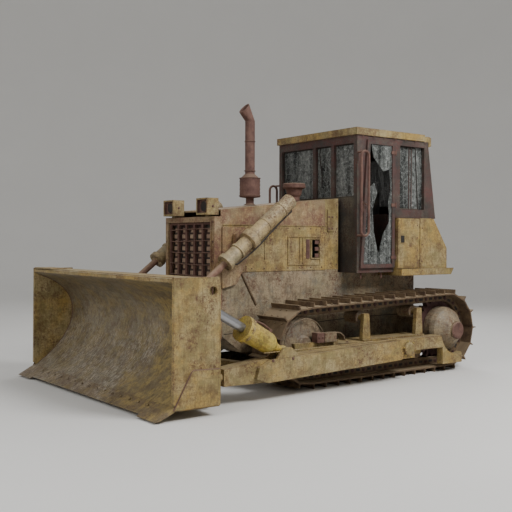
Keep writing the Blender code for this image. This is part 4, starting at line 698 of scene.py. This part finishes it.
def dress_cab(side, word):
    """Side window strips, door latch and hinges, floor studs and pillar bolts."""
    rubber = shapes_of(f"window_seals_{word}", "chassis", dark_iron)
    low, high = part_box(f"side_glass_{word}")
    x = high.x + 0.004 if side > 0 else low.x - 0.004
    frames = shapes_of(f"sliding_frames_{word}", "chassis", pillar)
    middle = (low.y + high.y) / 2
    for y in (middle - 0.03, middle + 0.02):
        bar(frames, (x - 0.006, y, low.z + 0.02), (x + 0.006, y + 0.016, high.z - 0.02))
    seal(rubber, [(x, low.y + 0.02, low.z + 0.015), (x, high.y - 0.10, low.z + 0.015),
                  (x, high.y - 0.16, high.z - 0.02), (x, low.y + 0.02, high.z - 0.02)], 0.008)
    door_low, door_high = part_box(f"door_{word}")
    face = door_high.x if side > 0 else door_low.x
    latch = shapes_of(f"door_latch_{word}", f"door_{word}", rust_red)
    lever = sorted((face, face + side * 0.014))
    bar(latch, (lever[0], door_low.y + 0.010, 2.24), (lever[1], door_low.y + 0.050, 2.40))
    sweep(latch, [(face + side * 0.012, door_low.y + 0.03, 2.37),
                  (face + side * 0.040, door_low.y + 0.04, 2.36),
                  (face + side * 0.044, door_low.y + 0.12, 2.34)], 0.009)
    for z in (2.26, 2.30):
        bolt(latch, (face + side * 0.014, door_low.y + 0.03, z), (side, 0, 0), 0.007)
    for z in DOOR_HINGES_Z:
        drum(latch, (side * DOOR_HINGE_X, DOOR_HINGE_Y, z - 0.035), (0, 0, 1), 0.070, 0.010, 16)
        arm = sorted((face - side * 0.001, face + side * 0.008))
        bar(latch, (arm[0], DOOR_HINGE_Y - 0.090, z - 0.022), (arm[1], DOOR_HINGE_Y - 0.006, z + 0.022))
    studs = shapes_of(f"cab_studs_{word}", "chassis", rust_red)
    for y in (0.98, 1.38):
        drum(studs, (side * 0.80, y, 1.412), (0, 0, -1), 0.085, 0.013, 12)
    for z in spaced(1.56, 3.16, 7):
        bolt(studs, (side * 0.849, 0.877, z), (side, 0, 0), 0.006)


def dress_cab_front():
    """Windshield strip, wiper, rear roof lamps and the roof's bolts."""
    low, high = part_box("windshield")
    y = low.y - 0.004
    rubber = shapes_of("windshield_seal", "chassis", dark_iron)
    seal(rubber, [(low.x + 0.02, y, low.z + 0.02), (high.x - 0.02, y, low.z + 0.02),
                  (high.x - 0.02, y, high.z - 0.02), (low.x + 0.02, y, high.z - 0.02)], 0.009)
    wiper = shapes_of("wiper", "chassis", dark_iron)
    sweep(wiper, [(0.06, y - 0.012, high.z - 0.02), (0.05, y - 0.022, high.z - 0.12),
                  (0.10, y - 0.020, high.z - 0.42)], 0.007)
    sweep(wiper, [(0.10, y - 0.018, high.z - 0.28), (0.10, y - 0.018, high.z - 0.60)], 0.009)
    roof_low, roof_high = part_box("cab_roof")
    lights = shapes_of("roof_lamps", "chassis", paint)
    for side in (1, -1):
        x = sorted((side * 0.62, side * 0.80))
        bar(lights, (x[0], roof_high.y - 0.002, 3.26), (x[1], roof_high.y + 0.085, 3.39))
    bolts = shapes_of("roof_bolts", "chassis", rust_red)
    for x in spaced(roof_low.x + 0.10, roof_high.x - 0.10, 7):
        bolt(bolts, (x, roof_low.y, roof_low.z + 0.055), (0, -1, 0), 0.008)
    for side, x in ((1, roof_high.x), (-1, roof_low.x)):
        for y in spaced(roof_low.y + 0.12, roof_high.y - 0.12, 7):
            bolt(bolts, (x, y, roof_low.z + 0.055), (side, 0, 0), 0.008)


def cushion(name, low, high, crown):
    """A crowned pad: a subdivided block, pulled in between its corners and stitched across."""
    low, high = Vector(low), Vector(high)
    mesh = bmesh.new()
    bar(mesh, low, high)
    bmesh.ops.subdivide_edges(mesh, edges=mesh.edges[:], cuts=9, use_grid_fill=True)
    middle, half = (low + high) / 2, (high - low) / 2
    thin = min(range(3), key=lambda n: half[n])
    wide = [n for n in range(3) if n != thin]
    for vert in mesh.verts:
        u, v = ((vert.co[n] - middle[n]) / half[n] for n in wide)
        swell = (1 - u * u) * (1 - v * v)
        channel = math.exp(-((abs(u) - 0.45) / 0.07) ** 2) * 0.35
        t = (vert.co[thin] - middle[thin]) / half[thin]
        vert.co[thin] = middle[thin] + t * (half[thin] * 0.72 + crown * (swell - channel * swell))
        pull = 1 - 0.035 * (1 - t * t)
        for n, other in zip(wide, (v, u)):
            vert.co[n] = middle[n] + (vert.co[n] - middle[n]) * (1 - 0.03 * (1 - other * other)) * pull
    data = bpy.data.meshes.new(name)
    mesh.to_mesh(data)
    mesh.free()
    data.polygons.foreach_set("use_smooth", [True] * len(data.polygons))
    data.materials.append(seat_vinyl)
    piece = bpy.data.objects.new(name, data)
    bpy.context.scene.collection.objects.link(piece)
    smooth = piece.modifiers.new("smooth", "SUBSURF")
    smooth.levels = smooth.render_levels = 1
    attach(piece, "chassis")
    return piece


def build_seat():
    """Two cushions on a bellows stand, and the control levers ahead of them."""
    low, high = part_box("seat")
    bottom = cushion("seat_cushion", (low.x, low.y, 1.785), (high.x, low.y + 0.52, 1.925), 0.020)
    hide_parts("seat")
    cushion("seat_back", (low.x + 0.01, high.y - 0.145, 1.90), (high.x - 0.01, high.y, high.z), 0.020)
    stand = shapes_of("seat_stand", "chassis", dark_iron)
    bar(stand, (-0.20, low.y + 0.16, low.z), (0.20, high.y - 0.06, low.z + 0.03))
    for n in range(5):
        z = low.z + 0.045 + 0.045 * n
        inset = 0.012 * (n % 2)
        bar(stand, (-0.17 + inset, low.y + 0.20 + inset, z - 0.017),
            (0.17 - inset, high.y - 0.10 - inset, z + 0.028))
    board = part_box("dashboard")[1]
    levers = shapes_of("control_levers", "chassis", dark_iron)
    for x in (-0.34, 0.20):
        sweep(levers, [(x, board.y - 0.08, 2.18), (x, board.y - 0.03, 2.34),
                       (x, board.y + 0.02, 2.42)], 0.009)
        drum(levers, (x, board.y + 0.015, 2.40), (0, 0.3, 1), 0.07, 0.022, 14, 0.016)


# --- rear -------------------------------------------------------------------------------

def dress_rear():
    """Tool box lock, fuel filler, tank welds, and the bolts of the tank and deck."""
    low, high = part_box("tool_box_door")
    lock = shapes_of("tool_box_lock", "tool_box_door", dark_iron)
    bar(lock, (high.x - 0.040, low.y + 0.055, 1.83), (high.x - 0.008, low.y + 0.125, 1.93))
    bolts = shapes_of("tool_box_bolts", "tool_box_door", rust_red)
    for z in (1.54, 1.72, 1.90, 2.08):
        bolt(bolts, (low.x + 0.020, high.y - 0.060, z), (1, 0, 0), 0.008)
    tank_low, tank_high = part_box("fuel_tank")
    cap = shapes_of("filler_cap", "chassis", rust_red)
    at = Vector((0.55, tank_low.y + 0.16, tank_high.z))
    drum(cap, at, (0, 0, 1), 0.04, 0.062, 24)
    drum(cap, at + Vector((0, 0, 0.04)), (0, 0, 1), 0.028, 0.075, 12, 0.060)
    welds = shapes_of("tank_welds", "chassis", paint)
    for x in (tank_low.x + 0.03, 0.0, tank_high.x - 0.03):
        sweep(welds, [(x, tank_low.y + 0.02, tank_high.z), (x, TANK_RIDGE_Y, tank_high.z)], 0.006)
    for side in (1, -1):
        for z in (1.56, 1.80, 2.04):
            bolt(cap, (side * TANK_HALF, tank_low.y + 0.04, z), (side, 0, 0), 0.009)
    deck_low, deck_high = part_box("rear_deck")
    for x in spaced(deck_low.x + 0.12, deck_high.x - 0.12, 7):
        bolt(cap, (x, deck_high.y, (deck_low.z + deck_high.z) / 2), (0, 1, 0), 0.011)


# --- implement --------------------------------------------------------------------------

def dress_lift(side, word):
    """The pipe under a lift barrel, its bands and its gland bolts."""
    body = f"lift_barrel_{word}"
    trunnion = Vector((side * LIFT_X, *LIFT_TRUNNION))
    eye = Vector((side * LIFT_X, *LIFT_EYE))
    along = (eye - trunnion).normalized()
    under = Vector((0, -along.z, along.y))
    if under.z > 0:
        under.negate()
    pipes = shapes_of(f"lift_pipe_{word}", body, dark_iron)
    reach = LIFT_R + 0.022
    route = [trunnion - along * (LIFT_TAIL - 0.07) + under * LIFT_R * 0.9,
             trunnion - along * (LIFT_TAIL - 0.09) + under * reach,
             trunnion - along * 0.45 + under * reach,
             trunnion - along * 0.10 + under * (reach + 0.022),
             trunnion + along * 0.10 + under * (reach + 0.022),
             trunnion + along * 0.34 + under * reach,
             trunnion + along * 0.40 + under * LIFT_R * 0.9]
    sweep(pipes, route, 0.012, 10)
    bands = shapes_of(f"lift_bands_{word}", body, paint_pale)
    for t in (-0.62, -0.30, 0.24):
        hoop(bands, trunnion + along * (t - 0.015), along, 0.03, LIFT_R - 0.012, LIFT_R + 0.006)
    bolt_ring(bands, trunnion + along * LIFT_NOSE, along, 0.082, 8, 0.009)


def dress_tilt():
    """The tilt barrel's flange, ports and bridging pipe."""
    pivot = Vector((TILT_X, *TILT_PIVOT))
    along = (Vector((TILT_X, *TILT_EYE)) - pivot).normalized()
    flange = shapes_of("tilt_flange", "tilt_barrel", paint)
    hoop(flange, pivot + along * (TILT_END - 0.072), along, 0.030, TILT_R - 0.02, TILT_R + 0.030, 8)
    bolt_ring(flange, pivot + along * (TILT_END - 0.042), along, TILT_R + 0.008, 8, 0.010)
    seals = shapes_of("tilt_ports", "tilt_barrel", rust_red)
    up = Vector((0, along.z, -along.y))
    if up.z < 0:
        up.negate()
    for t in (0.28, 0.52):
        drum(seals, pivot + along * t + up * (TILT_R - 0.02), up, 0.045, 0.024, 6)
    sweep(seals, [pivot + along * 0.28 + up * 0.152, pivot + along * 0.40 + up * 0.165,
                  pivot + along * 0.52 + up * 0.152], 0.010)


def dress_arm(side, word):
    """Trunnion cap bolts, the top weld and the wear plate's bolts."""
    body = f"{word}_arm"
    welds = shapes_of(f"arm_welds_{word}", body, paint)
    low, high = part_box(f"push_arm_{word}")
    x = high.x if side > 0 else low.x
    cap = shapes_of(f"trunnion_cap_{word}", body, paint_bright)
    bolt_ring(cap, (x, *ARM_TRUNNION), (side, 0, 0), 0.108, 6, 0.010)
    sweep(welds, [(x - side * 0.05, y, 0.560) for y in spaced(-1.30, 0.90, 8)], 0.007)
    wear = shapes_of(f"arm_bolts_{word}", body, rust_red)
    for y in (-1.20, -0.90):
        bolt(wear, (x, y, 0.47), (side, 0, 0), 0.014)


def dress_blade():
    """Wear plates and weld beads of the ends, the top lip, the back's ribs and the edge bolts."""
    low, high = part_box("blade")
    wear = shapes_of("end_wear_plates", "blade", paint)
    beads = shapes_of("blade_welds", "blade", rust_red)
    gusset = [(-2.683, 0.115), (-2.465, 0.49), (-2.443, 0.505), (-2.117, 0.495), (-2.117, 0.115)]
    for side, x in ((1, high.x), (-1, low.x)):
        plate(wear, gusset, *sorted((x - side * 0.002, x + side * 0.024)))
        sweep(beads, [(x + side * 0.006, y, z) for y, z in gusset[:4]], 0.009, 8)
        inner = x - side * (END_PLATE + 0.002)
        curve = [bezier(CURVE, s) for s in spaced(0.02, 0.98, 24)]
        sweep(beads, [(inner, p.x, p.y) for p in curve], 0.007, 8)
        sweep(beads, [(x - side * 0.020, EYE_HOLE[0], EYE_HOLE[1] - 0.043),
                      (x - side * 0.020, EYE_HOLE[0], EYE_HOLE[1] + 0.043)], 0.007, 8)
        rim = [(x, EYE_HOLE[0] + 0.050 * math.cos(a), EYE_HOLE[1] + 0.050 * math.sin(a))
               for a in (2 * math.pi * n / 28 for n in range(29))]
        sweep(wear, rim, 0.005, 8)
    lip = shapes_of("blade_lip", "blade", paint)
    bar(lip, (low.x + 0.03, low.y + 0.006, high.z - 0.004), (high.x - 0.03, low.y + 0.030, high.z + 0.006))
    bar(lip, (low.x + 0.02, low.y + 0.02, high.z + 0.002), (low.x + 0.55, BLADE_BACK - 0.35, high.z + 0.012))
    ribs = shapes_of("blade_ribs", "blade", paint_grey)
    rib = [(BLADE_BACK - 0.004, 0.20), (BLADE_BACK + 0.045, 0.26), (BLADE_BACK + 0.045, 1.22),
           (BLADE_BACK - 0.004, 1.30)]
    for x in (-0.48, -0.24, 0.0, 0.24, 0.48, 1.15, -1.15):
        plate(ribs, rib, x - 0.012, x + 0.012)
    edge_low, edge_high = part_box("cutting_edge")
    heads = shapes_of("edge_bolts", "blade", worn_steel)
    run = edge_high.y - 0.012 - (edge_low.y + 0.05)
    slope = Vector((0, run, EDGE_RISE)).normalized()
    out = Vector((0, -slope.z, slope.y))
    for x in spaced(-1.40, 1.40, 15):
        root = Vector((x, EDGE_BOLTS_Y, EDGE_BOLTS_Z))
        drum(heads, root - out * 0.006, out, 0.012, 0.016, 14, 0.012)


# --- finishes on part of a node ----------------------------------------------------------

def refinish(node, finish, chosen):
    """Gives the chosen faces of a node a finish of their own."""
    data = nodes[node].data
    data.materials.append(finish)
    for face in data.polygons:
        if chosen(face):
            face.material_index = len(data.materials) - 1


def off_axle(face):
    """How far a face lies from the sprocket's axle."""
    return math.hypot(face.center.y - SPROCKET.x, face.center.z - SPROCKET.y)


def mouldboard(face):
    """The blade's forward faces between its end plates, behind the cutting edge."""
    return face.normal.y < -0.15 and abs(face.center.x) < 1.79 and face.center.y > -2.66


def lower_cab(face):
    """The lower upright faces at the front of the cab."""
    return face.center.z < 2.36 and abs(face.normal.z) < 0.9 and face.center.y < 1.0


def sprocket(face):
    """The toothed rim, at the middle of the track."""
    return 0.95 < abs(face.center.x) < 1.05 and off_axle(face) > 0.24


# --- stage ------------------------------------------------------------------------------

def studio():
    """A pale floor that curves up all round, three soft lights and an even sky."""
    flat, bend, top, turns = 17.0, 11.0, 18.0, 96
    profile = [(0.0, 0.0)] + [(flat + bend * math.sin(a), bend * (1 - math.cos(a)))
                              for a in spaced(0.0, math.pi / 2, 17)] + [(flat + bend, top)]
    floor_mesh = bmesh.new()
    line = [floor_mesh.verts.new((r, 0, z)) for r, z in profile]
    edges = [floor_mesh.edges.new(pair) for pair in zip(line, line[1:])]
    bmesh.ops.spin(floor_mesh, geom=line + edges, cent=(0, 0, 0), axis=(0, 0, 1), angle=2 * math.pi,
                   steps=turns, use_merge=True)
    bmesh.ops.remove_doubles(floor_mesh, verts=floor_mesh.verts, dist=0.001)
    bmesh.ops.recalc_face_normals(floor_mesh, faces=floor_mesh.faces)
    bmesh.ops.reverse_faces(floor_mesh, faces=floor_mesh.faces)
    data = bpy.data.meshes.new("floor")
    floor_mesh.to_mesh(data)
    floor_mesh.free()
    data.polygons.foreach_set("use_smooth", [True] * len(data.polygons))
    g = Graph("pale_floor")
    tone = g.mix(g.noise(0.6), (0.66, 0.65, 0.63), (0.70, 0.69, 0.67))
    data.materials.append(g.finish(tone, g.step(g.noise(4.0), -3.0, 1.4), g.noise(60.0), 0.03))
    floor = bpy.data.objects.new("floor", data)
    bpy.context.scene.collection.objects.link(floor)
    for name, at, size, power in LIGHTS:
        light = bpy.data.lights.new(name, "AREA")
        light.size, light.energy = size, power
        lamp = bpy.data.objects.new(name, light)
        lamp.location = at
        lamp.rotation_euler = (Vector(LIGHTS_AIM) - Vector(at)).to_track_quat("-Z", "Y").to_euler()
        bpy.context.scene.collection.objects.link(lamp)
    world = bpy.data.worlds.new("studio")
    world.use_nodes = True
    sky = world.node_tree.nodes["Background"]
    sky.inputs["Color"].default_value = SKY_COLOUR
    sky.inputs["Strength"].default_value = SKY_STRENGTH
    bpy.context.scene.world = world


def camera():
    """The view from ahead and to the machine's left, at eye height."""
    lens = bpy.data.cameras.new("camera")
    lens.lens, lens.sensor_width = CAMERA_LENS, 36.0
    lens.clip_end = 200.0
    viewer = bpy.data.objects.new("camera", lens)
    viewer.location = CAMERA_AT
    aim = (Vector(CAMERA_TO) - Vector(CAMERA_AT)).to_track_quat("-Z", "Y").to_matrix()
    viewer.rotation_euler = (aim @ Matrix.Rotation(CAMERA_ROLL, 3, "Z")).to_euler()
    bpy.context.scene.collection.objects.link(viewer)
    bpy.context.scene.camera = viewer


camera()
studio()
for side, word in ((1, "left"), (-1, "right")):
    dress_track(side, word)
    dress_running_gear(side, word)
    dress_lamp(word)
    dress_hood(side, word)
    dress_cab(side, word)
    dress_lift(side, word)
    dress_arm(side, word)
dress_radiator()
dress_stacks()
dress_cab_front()
build_seat()
dress_rear()
dress_tilt()
dress_blade()

refinish("blade", scoured_face, mouldboard)
refinish("cab_frame", lower_panel, lower_cab)
for word in ("left", "right"):
    refinish(f"final_drive_{word}", link_maroon, sprocket)
    refinish(f"carrier_rollers_{word}", wheel_paint, lambda f: abs(f.center.x) < 1.125)
build_fittings()
